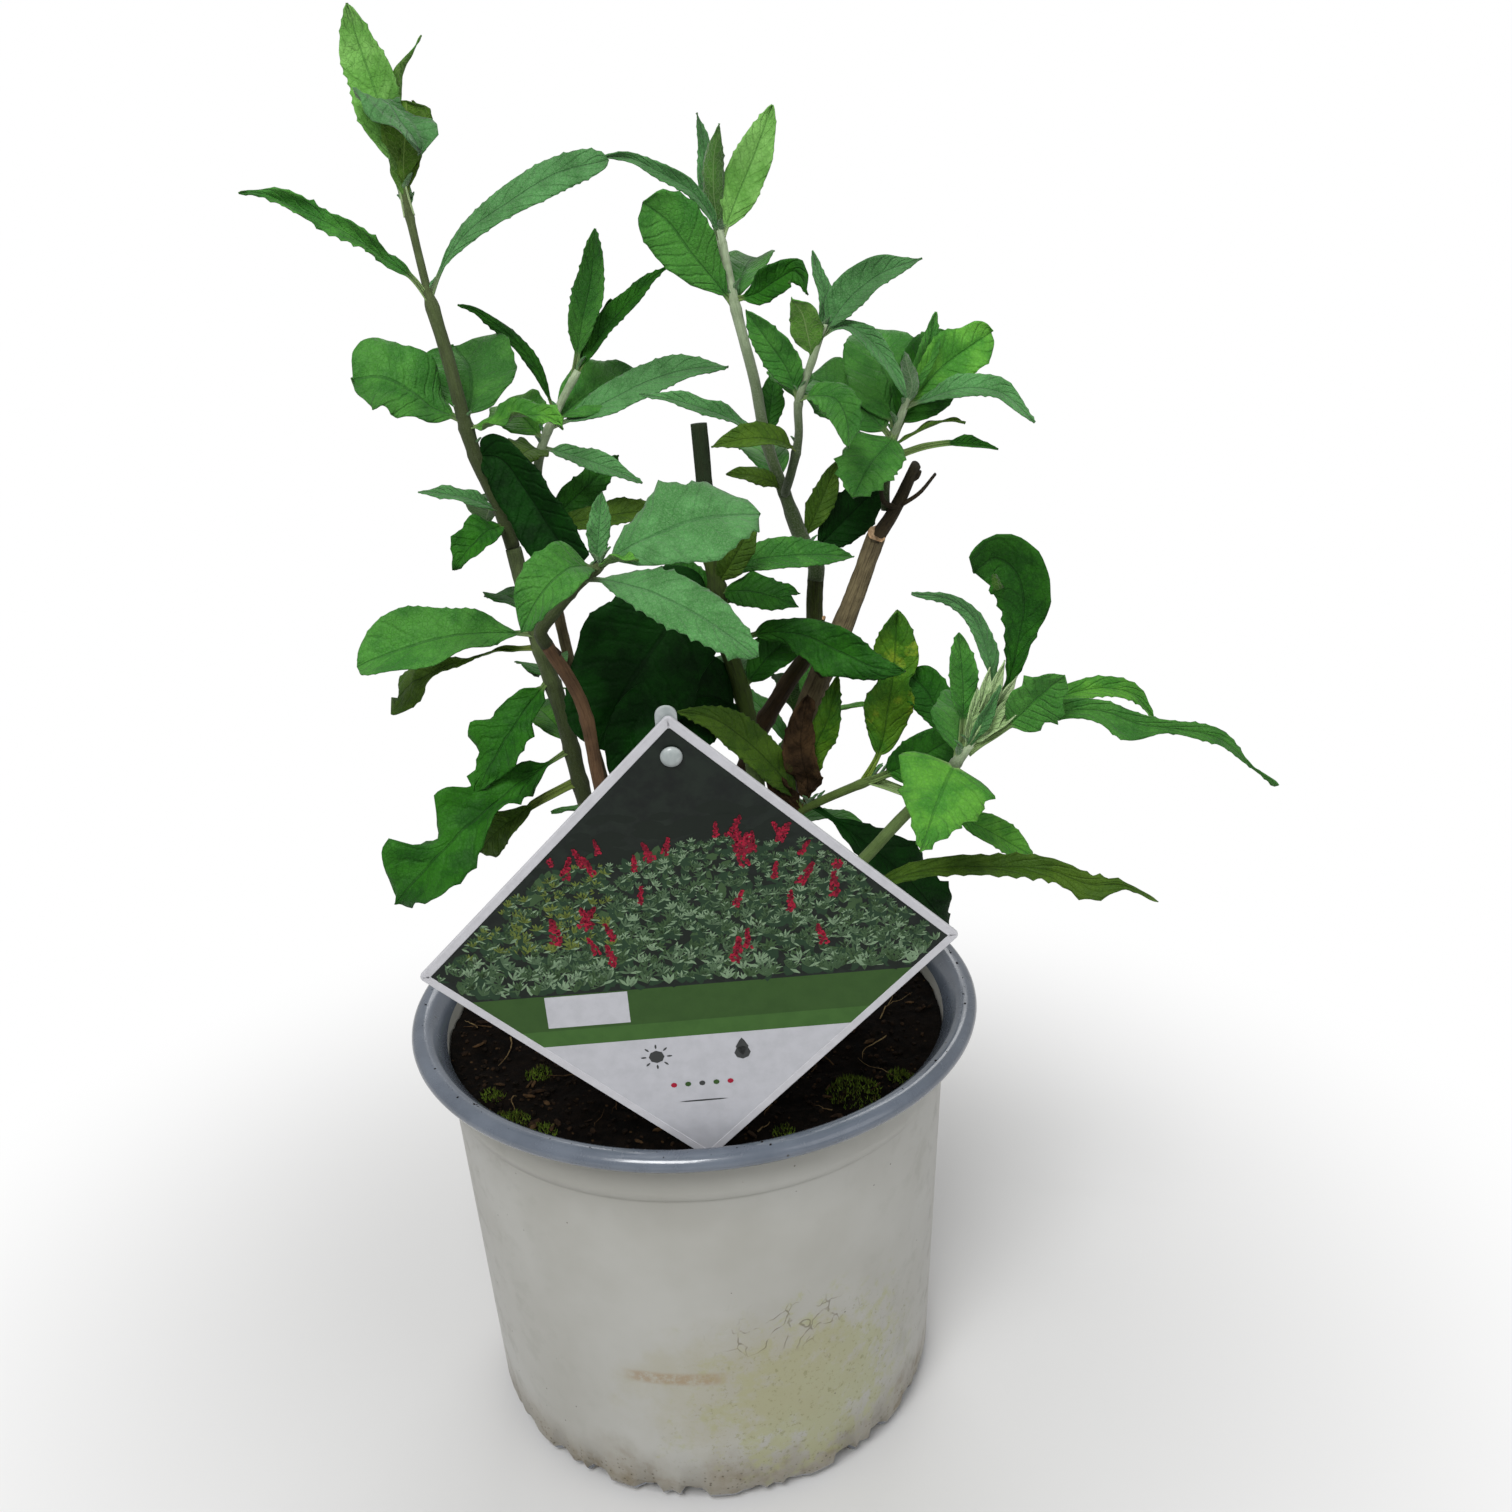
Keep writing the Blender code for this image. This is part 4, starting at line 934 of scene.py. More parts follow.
SHOOTS: dict[str, Shoot] = {
    "left_shoot_low": Shoot(
        ((-36, -2, 253), (-41, -2, 276), (-46, 0, 305)), (2.6, 2.4),
        (Leaf(278, (-52, -16, -2), 20, T.MID, FRONT_UP, 8, broad=0.56, blunt=0.5, wave=1.4, roll=0.25,
              crinkle=0.6),
         Leaf(274, (-46, 4, -15), 15, T.OLIVE, FRONT_UP, 9, wave=1.8, broad=0.85, full=3.0, blunt=1.0,
              crinkle=1.2, ragged=0.2),
         Leaf(284, (-15, 22, 1), 13, T.DARK, UP, 3),
         Leaf(264, (-24, -16, -30), 16, T.DARK, FRONT_UP, 4, wave=2.0, crinkle=1.2, ragged=0.22,
              teeth=(5.0, 1.8), lobes=((0.35, -0.3, -1), (0.6, 0.3, 1))),
         Leaf(240, (-55, -30, -36), 19, T.DARK, FRONT_UP, 9, wave=3.0, broad=0.55, blunt=0.5,
              crinkle=1.8, ragged=0.26, teeth=(5.5, 2.2), roll=0.3,
              lobes=((0.42, -0.35, -1), (0.55, 0.35, 1), (0.72, -0.4, 1), (0.85, 0.3, 0))),
         Leaf(229, (-34, -6, -20), 12, T.OLIVE, FRONT_UP, 6, wave=2.0, crinkle=1.2, stalk=0.4,
              ragged=0.25, broad=0.6),
         Leaf(262, (-8, 34, -8), 17, T.MID, UP, 5),
         Leaf(240, (-20, 34, 4), 18, T.FRESH, UP, 5)),
        carries_on="left_stem", bark=Bark.OLIVE),
    "left_shoot_top": Shoot(
        ((-55, 2, 335), (-60, 4, 363), (-63, 5, 378), (-68, 9, 412)), (2.2, 1.7),
        (Leaf(333, (28, -15, -32), 17, T.DEEP, FRONT, full=0.4, roll=0.2, broad=0.45, stalk=0.05,
              blunt=0.9, way=((7.5, -4, -0.5), (13.5, -7, -8), (20, -10.5, -19))),
         Leaf(341, (29.5, -16, 1), 9.5, T.FRESH, (0, -0.6, 1), wave=1.8, crinkle=1.6, roll=0.6,
              teeth=(3.5, 1.1), ragged=0.2, lobes=((0.8, -0.3, 0),),
              way=((5.5, -3, 1), (15.5, -8, 4), (24.5, -12.5, 4.5))),
         Leaf(343, (-30, -4, 14), 23, T.MID, FRONT_UP, broad=0.54, blunt=0.6, wave=1.4, crinkle=1.3,
              full=1.4, ragged=0.12, way=((-8, -1, 4.5), (-16, -2.5, 11), (-23.5, -3.5, 14.5))),
         Leaf(343, (-4, 24, 19), 28, T.MID, FRONT_UP, wave=1.2, blunt=0.8, full=1.3, crinkle=0.9,
              way=((1.5, 6.5, 5), (1, 15, 13))),
         Leaf(316, (-23, -4, 8), 5, T.FELT, FRONT_UP, 3, roll=0.6),
         Leaf(312, (-15, -12, -10), 11, T.DARK, FRONT_UP, 5, roll=0.6, crinkle=1.2, ragged=0.25),
         Leaf(314, (-10, 30, -8), 16, T.MID, UP, 5),
         Leaf(376, (-48, -6, 32), 7.2, T.MID, FRONT_UP, roll=1.5, wave=1.5, crinkle=1.5, full=1.3,
              ragged=0.25, teeth=(3.5, 0.9), stalk=0.16,
              way=((-5, -1, 8), (-10.5, -1.5, 12.5), (-21, -3, 20.5), (-31.5, -4, 26.5),
                   (-42, -5.5, 32))),
         Leaf(378, (54, -4, 34.5), 10.5, T.FELT, FRONT_UP, blunt=0.5, full=1.7, broad=0.6, roll=-0.3,
              way=((5.5, -0.5, 9.5), (14, -1.5, 18), (26, -2.5, 25), (39, -3, 31.5))),
         Leaf(400, (-10.5, 3, 55), 13, T.BRIGHT, FRONT, full=1.5, roll=0.4, crinkle=0.9, stalk=0.26,
              way=((-3.5, 1, 23), (-6, 2, 34.5), (-8.5, 2.5, 44.5))),
         Leaf(400, (7.5, 8, 47), 7, T.FRESH, LEFT, roll=1.3, broad=0.3, crinkle=0.6,
              way=((0, 5, 30.5), (1.5, 6, 37.5), (4.5, 7, 42.5))),
         Leaf(405, (4, -3, 25), 15, T.OLIVE, BACK, wave=0.8, broad=0.7, blunt=0.6, roll=-0.5, full=1.7,
              way=((1, -1, 10), (3, -2.5, 19))),
         Leaf(405, (7.5, -13, 11), 17, T.FELT, BACK, wave=2.2, broad=0.45, blunt=1.0, crinkle=2.8,
              full=0.8, stalk=0.5, ragged=0.24, teeth=(3.5, 1.2),
              way=((-2, 1, 12), (-4, -1, 22), (-3.5, -6.5, 25), (1, -10.5, 20.5))),
         Leaf(405, (5.5, -2, 25), 6, T.OLIVE, FRONT, roll=0.5, way=((3.5, 0, 12.5), (6.5, -1, 20)))),
        carries_on="left_shoot_low", bark=Bark.OLIVE, drop=(378, 0.36)),
    "front_left_shoot": Shoot(
        ((-31, -46, 297), (-24, -49, 305), (-17, -52, 311)), (2.0, 1.3),
        (Leaf(310, (45, 6, 11), 25, T.FELT, FRONT_UP, 8, wave=1.4, full=1.6, roll=-0.35, broad=0.55,
              crinkle=0.7, ragged=0.14, teeth=(4.2, 1.6)),
         Leaf(310, (-20, -16, -12), 15, T.MID, FRONT_UP, 11, roll=0.3, teeth=(3.2, 0.9), full=1.5),
         Leaf(307, (45, -22, -18), 15, T.FELT, FRONT_UP, 10, wave=1.0, teeth=(3.4, 1.2), full=1.6,
              broad=0.56, roll=-0.3),
         Leaf(310, (3, 4, 20), 6, T.FELT, FRONT, 1, roll=0.6),
         Leaf(310, (12, -10, 4), 5, T.FRESH, UP, 1, roll=0.8),
         Leaf(303, (-9, 24, -6), 14, T.MID, UP, 4)),
        carries_on="front_left_stem", bark=Bark.OLIVE),
    "back_left_shoot": Shoot(
        ((-40, 28, 305), (-38, 28, 328), (-31, 28, 342), (-24, 28, 353)), (1.8, 1.1),
        (Leaf(351, (10, -2, 43), 9.5, T.MID, FRONT, roll=0.7, stalk=0.16,
              way=((4, -1, 17), (7.5, -1.5, 28.5))),
         Leaf(351, (31, 2, 31), 6.5, T.DARK, FRONT_UP, roll=0.6,
              way=((9, 0.5, 12), (19, 1.5, 22), (25, 1.5, 27.5))),
         Leaf(351, (13, 6, 22), 4, T.DARK, FRONT_UP, 1, roll=0.5),
         Leaf(340, (-25.5, -6, 34.5), 5, T.DARK, FRONT_UP, roll=-1.0,
              way=((-4, -2, 14), (-8.5, -3, 21.5), (-16, -4.5, 29), (-22.5, -5.5, 33.5))),
         Leaf(336, (57, 4, 15.5), 12, T.FELT, FRONT_UP, wave=0.6,
              way=((13, 1, 4.5), (29, 2, 11.5), (45, 3, 15.5))),
         Leaf(332, (-14, 18, 9), 18, T.FRESH, FRONT_UP, 4),
         Leaf(337, (29, 20, 12), 20, T.MID, FRONT_UP, 4),
         Leaf(330, (31, -14, -10), 7, T.FELT, FRONT_UP, 2, roll=0.4),
         Leaf(329, (-8, -18, -2), 12, T.OLIVE, FRONT_UP, 3),
         Leaf(304, (26, 14, 20), 10, T.DARK, FRONT, 2),
         Leaf(304, (44, -6, 6), 9, T.OLIVE, FRONT_UP, 2),
         Leaf(304, (-24, 22, 6), 16, T.MID, UP, 5)),
        carries_on="back_left_stem", bark=Bark.FELTED),
    "centre_shoot": Shoot(
        ((21, -2, 255), (17, -2, 272), (14, 0, 298), (12, 2, 339)), (2.7, 2.5),
        (Leaf(256, (24, 12, 18), 13, T.DARK, FRONT_UP, 6),
         Leaf(272, (52, -24, -4.5), 13, T.DARK, FRONT_UP, wave=2.6, twist=25, crinkle=1.0,
              lobes=((0.3, -0.35, 0), (0.62, 0.3, 1)), stalk=0.16,
              way=((13, -5.5, 4.5), (22, -9.5, 4.5), (33.5, -15, 0), (43.5, -20, -4))),
         Leaf(291, (43.5, 10, 3.5), 11, T.MID, FRONT_UP, way=((11, 3, 5.5), (23.5, 5.5, 6))),
         Leaf(288, (24, -10, -3), 12, T.DARK, FRONT_UP, 4),
         Leaf(284, (25, 2, 2), 7, T.DARK, FRONT_UP, 5),
         Leaf(290, (13, -6, 22), 9, T.OLIVE, FRONT, 2),
         Leaf(282, (-39.5, -18, -36), 39, T.DEEP, FRONT_UP, wave=1.4, full=1.0, blunt=0.4, crinkle=0.8,
              way=((-9, -3, 5), (-19, -7.5, -5.5), (-32, -13.5, -22))),
         Leaf(249, (-42.5, -26, -8), 28, T.DEEP, FRONT_UP, wave=1.4, full=1.3,
              way=((-14, -8, 9), (-27, -15.5, 4.5))),
         Leaf(287, (-18, 14, 5), 11, T.DARK, FRONT_UP, 3),
         Leaf(298, (12, 20, -2), 10, T.DARK, FRONT_UP, 3),
         Leaf(254, (-12, 26, 4), 18, T.MID, UP, 5)),
        carries_on="centre_stem", bark=Bark.STUB),
    "tall_shoot": Shoot(
        ((43, 22, 298), (38, 22, 313), (33, 22, 329), (30, 22, 348), (26, 22, 366), (21, 22, 393)),
        (2.7, 1.9),
        (Leaf(389, (-5, 8, 35.5), 4.5, T.FELT, FRONT, roll=0.6, way=((-3.5, 4, 17), (-3.5, 6.5, 28))),
         Leaf(389, (1, -6, 32), 6.5, T.MID, BACK, roll=0.8, way=((-1.5, -2.5, 14.5), (-1, -4, 22.5))),
         Leaf(389, (17, 4, 36.5), 11.5, T.BRIGHT, FRONT, roll=0.3, full=1.6,
              way=((5, 1, 11), (10.5, 2.5, 22))),
         Leaf(388, (-32.5, -14, 25.5), 5, T.FELT, FRONT_UP, roll=1.0,
              way=((-4, -3.5, 10), (-7.5, -5, 14.5), (-16.5, -8.5, 20.5), (-26, -12, 25))),
         Leaf(370, (-25.5, -10, 31), 18, T.MID, FRONT, blunt=0.45, full=1.5, broad=0.6,
              teeth=(4.0, 0.7), way=((-6, -2.5, 8), (-13, -5, 17), (-18.5, -7.5, 25))),
         Leaf(372, (21, -12, 1.5), 9, T.DARK, FRONT, wave=1.0, roll=0.5, crinkle=0.8,
              way=((7, -3, 2), (13.5, -6.5, 6), (18, -8.5, 8), (20, -10, 6))),
         Leaf(330, (-38, -10, 17), 6, T.FELT, FRONT_UP, 4, roll=0.6),
         Leaf(330, (4, 9, 19), 8, T.DARK, FRONT, 1),
         Leaf(314, (-18, -6, 7), 6, T.OLIVE, FRONT_UP, 3),
         Leaf(297, (12, 6, 24), 8, T.OLIVE, FRONT, 2),
         Leaf(293, (26, 15, 20), 15, T.DEEP, FRONT, 2),
         Leaf(370, (10, 30, 12), 15, T.MID, UP, 5),
         Leaf(315, (-12, 28, 8), 16, T.MID, UP, 5)),
        (SIDE_TWIG,), "tall_stem", Bark.FELTED, (308, 0.24)),
    "right_back_shoot": Shoot(
        ((69.8, 21, 306), (70, 21, 314), (72, 20, 327), (77, 18, 342)), (1.4, 1.0),
        (Leaf(340, (10, 6, 25.5), 6, T.MID, FRONT, roll=0.6, way=((4.5, 2, 9), (8, 4, 17.5))),
         Leaf(337, (-0.5, -6, 18.5), 4.5, T.FELT, BACK, roll=0.6, way=((2.5, -2.5, 8), (1, -4.5, 13.5))),
         Leaf(338, (28.5, 8, 20.5), 15.5, T.FRESH, FRONT, broad=0.52, blunt=0.5, full=1.4, wave=1.2,
              crinkle=0.7, ragged=0.14, way=((11.5, 3.5, 10.5), (21, 6, 16.5))),
         Leaf(338, (38, -12, -4.5), 7.5, T.FELT, FRONT_UP, roll=0.3,
              way=((7.5, -2.5, 3), (18.5, -5.5, 6), (28, -8, 4.5))),
         Leaf(331, (-16, -20, -16), 18, T.MID, FRONT_UP, full=1.4, teeth=(4.0, 1.5),
              way=((-1.5, -2, -2), (-9, -10, -7.5))),
         Leaf(326, (23.5, 2, 6), 2.6, T.OLIVE, roll=1.2, way=((10.5, 1, 5), (18.5, 1.5, 7))),
         Leaf(322, (34.5, 0, 1.5), 4, T.DARK, FRONT_UP, roll=1.0, stalk=0.55,
              way=((13, 0, 3.5), (21, 0, 4), (28.5, 0, 3))),
         Leaf(328, (-26, 20, 18), 24, T.MID, FRONT_UP, 6, wave=1.2, full=1.4),
         Leaf(330, (-4, 26, 30), 26, T.MID, FRONT_UP, 4, wave=1.2, full=1.4),
         Leaf(330, (20, 24, 28), 20, T.DARK, FRONT, 4, full=1.4)), bark=Bark.FELTED),
    "front_right_shoot": Shoot(
        ((81, -45, 245), (85, -46, 251)), (1.7, 1.4),
        (Leaf(247, (-1, 0, 37.5), 8.5, T.MID, FRONT, roll=0.7, broad=0.5, stalk=0.3,
              way=((0.5, 0, 8), (0.5, 0, 20.5))),
         Leaf(249, (-16.5, -6, 49.5), 4.5, T.FELT, FRONT, roll=0.4, stalk=0.35, lobes=((0.5, 0.5, 1),),
              way=((7.5, -1.5, 15.5), (5, -3, 31), (1, -4, 41), (-4.5, -4.5, 46))),
         Leaf(249, (0.5, -6, 54.5), 17, T.DARK, FRONT, roll=0.5, broad=0.66, blunt=1.0, full=1.5,
              wave=1.2, crinkle=1.0, stalk=0.3, teeth=(4.0, 0.8),
              way=((11, -2, 18.5), (14, -3, 33.5), (15, -4, 45), (12, -5, 54), (6, -5.5, 58))),
         Leaf(249, (24.5, -14, 26), 13, T.MID, FRONT, roll=0.4, teeth=(4.6, 2.0), full=1.1, stalk=0.42,
              crinkle=1.0, lobes=((0.75, 0.3, 1),), way=((14, -7, 12.5), (17.5, -9.5, 17.5))),
         Leaf(249, (56, 4, 5.5), 6.5, T.FRESH, FRONT_UP, wave=0.8, roll=0.5, crinkle=0.8, stalk=0.3,
              teeth=(2.8, 0.5), way=((16, 1, 10.5), (29, 2, 14.5), (41.5, 3, 15.5), (50, 3.5, 12.5))),
         Leaf(249, (84.5, -20, -8.5), 6.2, T.MID, FRONT_UP, wave=0.7, roll=0.4, crinkle=0.7, stalk=0.15,
              full=1.2, lobes=((0.50, 1.4, 1), (0.64, -0.5, 0), (0.79, -0.1, 1), (0.92, -0.85, 0)),
              way=((14.5, -3.5, 9), (25.5, -6, 12.5), (36.5, -8.5, 13), (47.5, -11, 9),
                   (58, -13.5, 8), (69, -15.5, 5), (77, -18, -2.5))),
         Leaf(245, (-14.5, -26, -15.5), 27, T.FRESH, FRONT_UP, broad=0.2, full=1.5, teeth=(4.5, 1.8),
              roll=-0.4, ragged=0.16, crinkle=0.8, stalk=0.05, way=((-2.5, -3.5, -2), (-7, -11, -6.5))),
         young_leaf(250, (13, -4, 22), 4.6, 1, FRONT),
         young_leaf(250, (9.5, -4, 27), 4.2, 1, FRONT),
         young_leaf(250, (5.5, -3, 25), 4.0, 1, FRONT),
         young_leaf(250, (17, -5, 15), 4.6, 2, FRONT_UP),
         young_leaf(249, (2.5, -3, 20), 3.6, 1, FRONT),
         young_leaf(250, (11, -6, 17), 4.4, 1, FRONT),
         Leaf(249, (13, 2, 19), 5, T.FELT, FRONT, 1, roll=0.9),
         Leaf(249, (8, -8, 22), 4, T.FELT, FRONT, 1, roll=0.9),
         Leaf(245, (8, 28, 12), 16, T.MID, UP, 5)),
        carries_on="front_right_stem", bark=Bark.FELTED),
    "right_low_shoot": Shoot(
        ((35.8, 2.7, 211), (46, -5, 219), (58, -8, 225), (70, -10, 230), (84, -12, 236.5)),
        (1.5, 1.1),
        (Leaf(225, (11, -1, 56.5), 16, T.YELLOW, FRONT, wave=1.6, crinkle=0.9, stalk=0.18, full=1.3,
              blunt=0.2, lobes=((0.62, -0.45, 0),), way=((5.5, 0, 11), (8, -0.5, 24.5), (10, -0.5, 38))),
         Leaf(226, (50, -14, -24), 10, T.FRESH, FRONT_UP, 4, wave=1.0, roll=0.4, broad=0.5, stalk=0.5),
         Leaf(213, (-13, -6, 21), 7, T.BROWN, FRONT, 3, wave=1.6, crinkle=1.8, ragged=0.35, roll=0.6),
         Leaf(212.5, (-8, -3, -15), 8, T.BROWN, FRONT, 2, wave=1.6, crinkle=1.8, ragged=0.35),
         Leaf(214, (2, -3, 40), 11, T.BROWN, FRONT, wave=2.0, crinkle=2.4, ragged=0.3, blunt=0.5,
              roll=0.7, way=((1, -4, 10), (-1, -6, 25))),
         Leaf(236, (-11, 6, 24.5), 13, T.DARK, FRONT, broad=0.66, full=1.9, twist=10,
              way=((-1, 2, 9.5), (-5, 4, 19))),
         Leaf(214, (-38.5, -30, 46.5), 12, T.OLIVE, FRONT_UP,
              way=((-8, -7.5, 15.5), (-19, -16.5, 31.5), (-29, -24, 42))),
         Leaf(214, (11.5, -4, 46.5), 9.5, T.YELLOW, FRONT, wave=1.0, crinkle=0.7,
              way=((2, -1.5, 17.5), (8, -2.5, 31))),
         Leaf(216, (47, 9, -57), 18, T.DEEP, FRONT_UP, 11, wave=1.6, ragged=0.16, teeth=(5.0, 1.4)),
         Leaf(225, (32, -12, 22), 15, T.DARK, FRONT, 4, full=1.4, stalk=0.25),
         Leaf(235, (20, 20, 8), 14, T.MID, UP, 4)), bark=Bark.GREEN),
    "low_right_shoot": Shoot(
        ((23, -9, STEM_FOOT), (33, -13, 166), (42, -20, 183), (49, -25, 195)), (2.0, 1.2),
        (Leaf(194, (95.5, -18, 0.5), 6.8, T.OLIVE, (0, -0.5, 1), wave=0.8, twist=40, full=1.1,
              crinkle=0.7, teeth=(5.0, 0.9), roll=0.4, lobes=((0.8, 0.9, 1), (0.93, -0.6, 0)),
              way=((30, -5.5, 10), (48.5, -9, 11), (63.5, -11.5, 10), (75.5, -14, 5.5),
                   (85.5, -16, 5.5))),
         Leaf(178, (24, 8, 4), 16, T.DARK, FRONT_UP, 6),
         Leaf(168, (28, 26, 2), 15, T.DARK, UP, 4)), bark=Bark.GREEN),
}


def ruled_shoots(draw: Random) -> dict[str, Shoot]:
    """The two shoots at the back, which grow by rule as in the solids."""
    return {
        "back_shoot": Shoot(
            ((-3, 22, STEM_FOOT), (-10, 36, 178), (-15, 46, 208), (-16, 52, 236)), (2.2, 1.2),
            up_and_around((172, 190, 207, 222, 234), (46, 32), 100, (6, 46), 0.30, draw,
                          (T.DARK, T.MID, T.MID, T.FRESH)), bark=Bark.GREEN),
        "back_right_shoot": Shoot(
            ((13, 26, STEM_FOOT), (26, 40, 175), (36, 52, 202), (42, 60, 226)), (2.2, 1.2),
            up_and_around((168, 185, 200, 213, 224), (44, 30), 60, (6, 46), 0.30, draw,
                          (T.MID, T.DARK, T.FRESH, T.MID), leave_out=(1,)), bark=Bark.GREEN),
    }


def carried_on(shoot: Shoot, below: Shoot, run_on: float = 4.0) -> Shoot:
    """The shoot's route begun just clear of the tip of the stem below, and in line with it."""
    last, tip = (Vector(point) for point in below.route[-2:])
    onward = (tip - last).normalized()
    start = [tuple(tip + onward * step) for step in (GAP, run_on)]
    return replace(shoot, route=(*start, *shoot.route))


@dataclass
class Plant:
    """The whole clump: bare stems and leafy shoots.

    Args:
        effects: the shared node groups.
        thickness: how thick a leaf is, in metres.
        spacing: distance between the rows of faces along a stem, in metres.
        run_in: how far a bare stem runs into the shoot that it carries, in mm.
        node_gap: how far apart two swellings of a stem are at least, in mm.
        bud_reach: how long a leaf is at least that has a bud over its root, in mm.
        seed: seed of the two shoots that grow by rule, as in the solids.
        detail_seed: seed of the teeth, waves and buds.
        leaf_shaper: the rule by which every leaf is made.
        cut_wood: the finish of a cut end.
        barks: the stems' finishes.
        tones: the finishes of a leaf's upper face and its underside.
    """
    effects: Effects
    thickness: float = 0.00035
    spacing: float = 0.0016
    run_in: float = 1.4
    node_gap: float = 6
    bud_reach: float = 15
    seed: int = 7
    detail_seed: int = 19
    leaf_shaper: LeafShaper = field(default_factory=LeafShaper)
    cut_wood: Optional[Material] = None
    barks: dict[Bark, Material] = field(default_factory=dict)
    tones: dict[Tone, tuple[Material, Material]] = field(default_factory=dict)

    def dress(self) -> None:
        """Makes every finish of stems and leaves."""
        for kind, finish in BARK_FINISHES.items():
            self.barks[kind] = finish.make(f"bark_{kind.value}", self.effects)
        for tone, finish in LEAF_FINISHES.items():
            self.tones[tone] = (finish.upper(f"leaf_{tone.value}", self.effects),
                                finish.lower(f"leaf_{tone.value}_under", self.effects))
        desk = Surface("cut_wood", 0.8)
        rings = desk.noise(desk.place(), 900.0, 3.0)
        colour = desk.mix(desk.range(rings, 0.35, 0.65), linear(206, 172, 132), linear(160, 122, 84))
        self.cut_wood = desk.done(colour, rings, 0.4, 0.0003)

    def stem_radius(self, shoot: Shoot, points: Sequence[Vector], nodes: Sequence[float],
                    rough: float) -> Callable[[float, float], float]:
        """The stem's radius by turn and share, with swellings at its nodes and bark relief."""
        low, high = shoot.radii
        last = len(points) - 1
        heights = [point.z / MM for point in points]
        offset = points[0].x * 900
        above, cut = shoot.drop

        def radius(turn: float, share: float) -> float:
            """The radius in metres."""
            height = heights[round(share * last)]
            plain = (low + (high - low) * share) * (1 - cut / (1 + exp(above - height)))
            swell = sum(0.45 * exp(-((height - node + 0.2) / 0.8) ** 2)
                        + 0.22 * exp(-((height - node + 1.6) / 3.0) ** 2) for node in nodes)
            swell *= min(1.0, plain / 2.4)
            where = Vector((cos(turn) * 2.2, sin(turn) * 2.2, height * 0.16 + offset))
            fine = Vector((cos(turn) * 5.0, sin(turn) * 5.0, height * 0.5 + offset))
            relief = rough * plain * (0.10 * noise.noise(where) + 0.05 * noise.noise(fine))
            return (plain + swell + relief) * MM
        return radius

    def limb(self, name: str, shoot: Shoot, cut: bool) -> None:
        """Builds one bare stem, cut at its top or run a little way into the shoot that it carries."""
        points = smooth_route(shoot.route, self.spacing)
        cap = 0 if shoot.bark is Bark.DEAD else 1
        if not cut:
            points.append(points[-1] + (points[-1] - points[-2]).normalized() * self.run_in * MM)
        shape = bmesh.new()
        shape.loops.layers.uv.new("UVMap")
        rough = 0.5 if shoot.bark is Bark.GREEN else 1.0
        around = 28 if shoot.radii[0] > 2.2 else 14
        wrap_tube(shape, points, self.stem_radius(shoot, points, shoot.rings, rough), around, 0, cap, cut)
        for spur in shoot.twigs:
            line = smooth_route(spur.route, 0.0012)
            wrap_tube(shape, line, self.stem_radius(spur, line, (), 1.0), 14, 0, cap, True)
        piece = mesh_piece(name + "_bark", shape, (self.barks[shoot.bark], self.cut_wood))
        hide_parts(name)

    def buds(self, blades: BMesh, leaf: Leaf, points: Sequence[Vector], slot: int,
             draw: Random) -> None:
        """Adds the two tiny felted leaves of the bud over a leaf's root."""
        heading = atan2(leaf.reach[1], leaf.reach[0]) + draw.uniform(-0.3, 0.3)
        root = stem_point(points, (leaf.height + 1.2) * MM)
        for size, lean in ((draw.uniform(4.0, 6.5), 0.55), (draw.uniform(2.5, 4.0), 0.35)):
            reach = (size * lean * cos(heading), size * lean * sin(heading), size * 0.85)
            bud = Leaf(leaf.height, reach, size * 0.28, T.FELT, (-reach[0], -reach[1], 0.2), 0.3,
                       wave=0.1, roll=0.9, crinkle=0.05)
            self.leaf_shaper.add(blades, bud, root, slot, draw)

    def shoot(self, name: str, shoot: Shoot, draw: Random) -> None:
        """Builds one leafy shoot: its stems in one piece and its leaves in another."""
        stems = bmesh.new()
        stems.loops.layers.uv.new("UVMap")
        blades = bmesh.new()
        blades.loops.layers.uv.new("UVMap")
        tones = list(dict.fromkeys(leaf.tone for part in (shoot, *shoot.twigs) for leaf in part.leaves))
        if Tone.FELT not in tones:
            tones.append(Tone.FELT)
        barks = list(dict.fromkeys(part.bark for part in (shoot, *shoot.twigs)))
        for part in (shoot, *shoot.twigs):
            points = smooth_route(part.route, self.spacing)
            nodes: list[float] = []
            for height in sorted({leaf.height for leaf in part.leaves}):
                if not nodes or height - nodes[-1] > self.node_gap:
                    nodes.append(height)
            wrap_tube(stems, points, self.stem_radius(part, points, nodes, 0.4), 18,
                      barks.index(part.bark))
            for leaf in part.leaves:
                root = stem_point(points, leaf.height * MM)
                self.leaf_shaper.add(blades, leaf, root, 2 * tones.index(leaf.tone), draw)
            for leaf in part.leaves:
                if Vector(leaf.reach).length >= self.bud_reach:
                    self.buds(blades, leaf, points, 2 * tones.index(T.FELT), draw)
        stem_piece = mesh_piece(name + "_stem", stems, [self.barks[bark] for bark in barks])
        leaf_piece = mesh_piece(name + "_leaves", blades,
                                [finish for tone in tones for finish in self.tones[tone]])
        thick = leaf_piece.modifiers.new("thickness", "SOLIDIFY")
        thick.thickness = self.thickness
        thick.offset = -1.0
        thick.material_offset = 1
        for piece in (stem_piece, leaf_piece):
            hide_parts(name)

    def build(self) -> None:
        """Builds the stems and the shoots in order."""
        self.dress()
        shoots = {**SHOOTS, **ruled_shoots(Random(self.seed))}
        carrying = {shoot.carries_on for shoot in shoots.values()}
        for name, limb in LIMBS.items():
            self.limb(name, limb, name not in carrying)
        for name, shoot in shoots.items():
            if shoot.carries_on:
                shoots[name] = carried_on(shoot, {**LIMBS, **shoots}[shoot.carries_on])
        draw = Random(self.detail_seed)
        for name, shoot in shoots.items():
            self.shoot(name, shoot, draw)


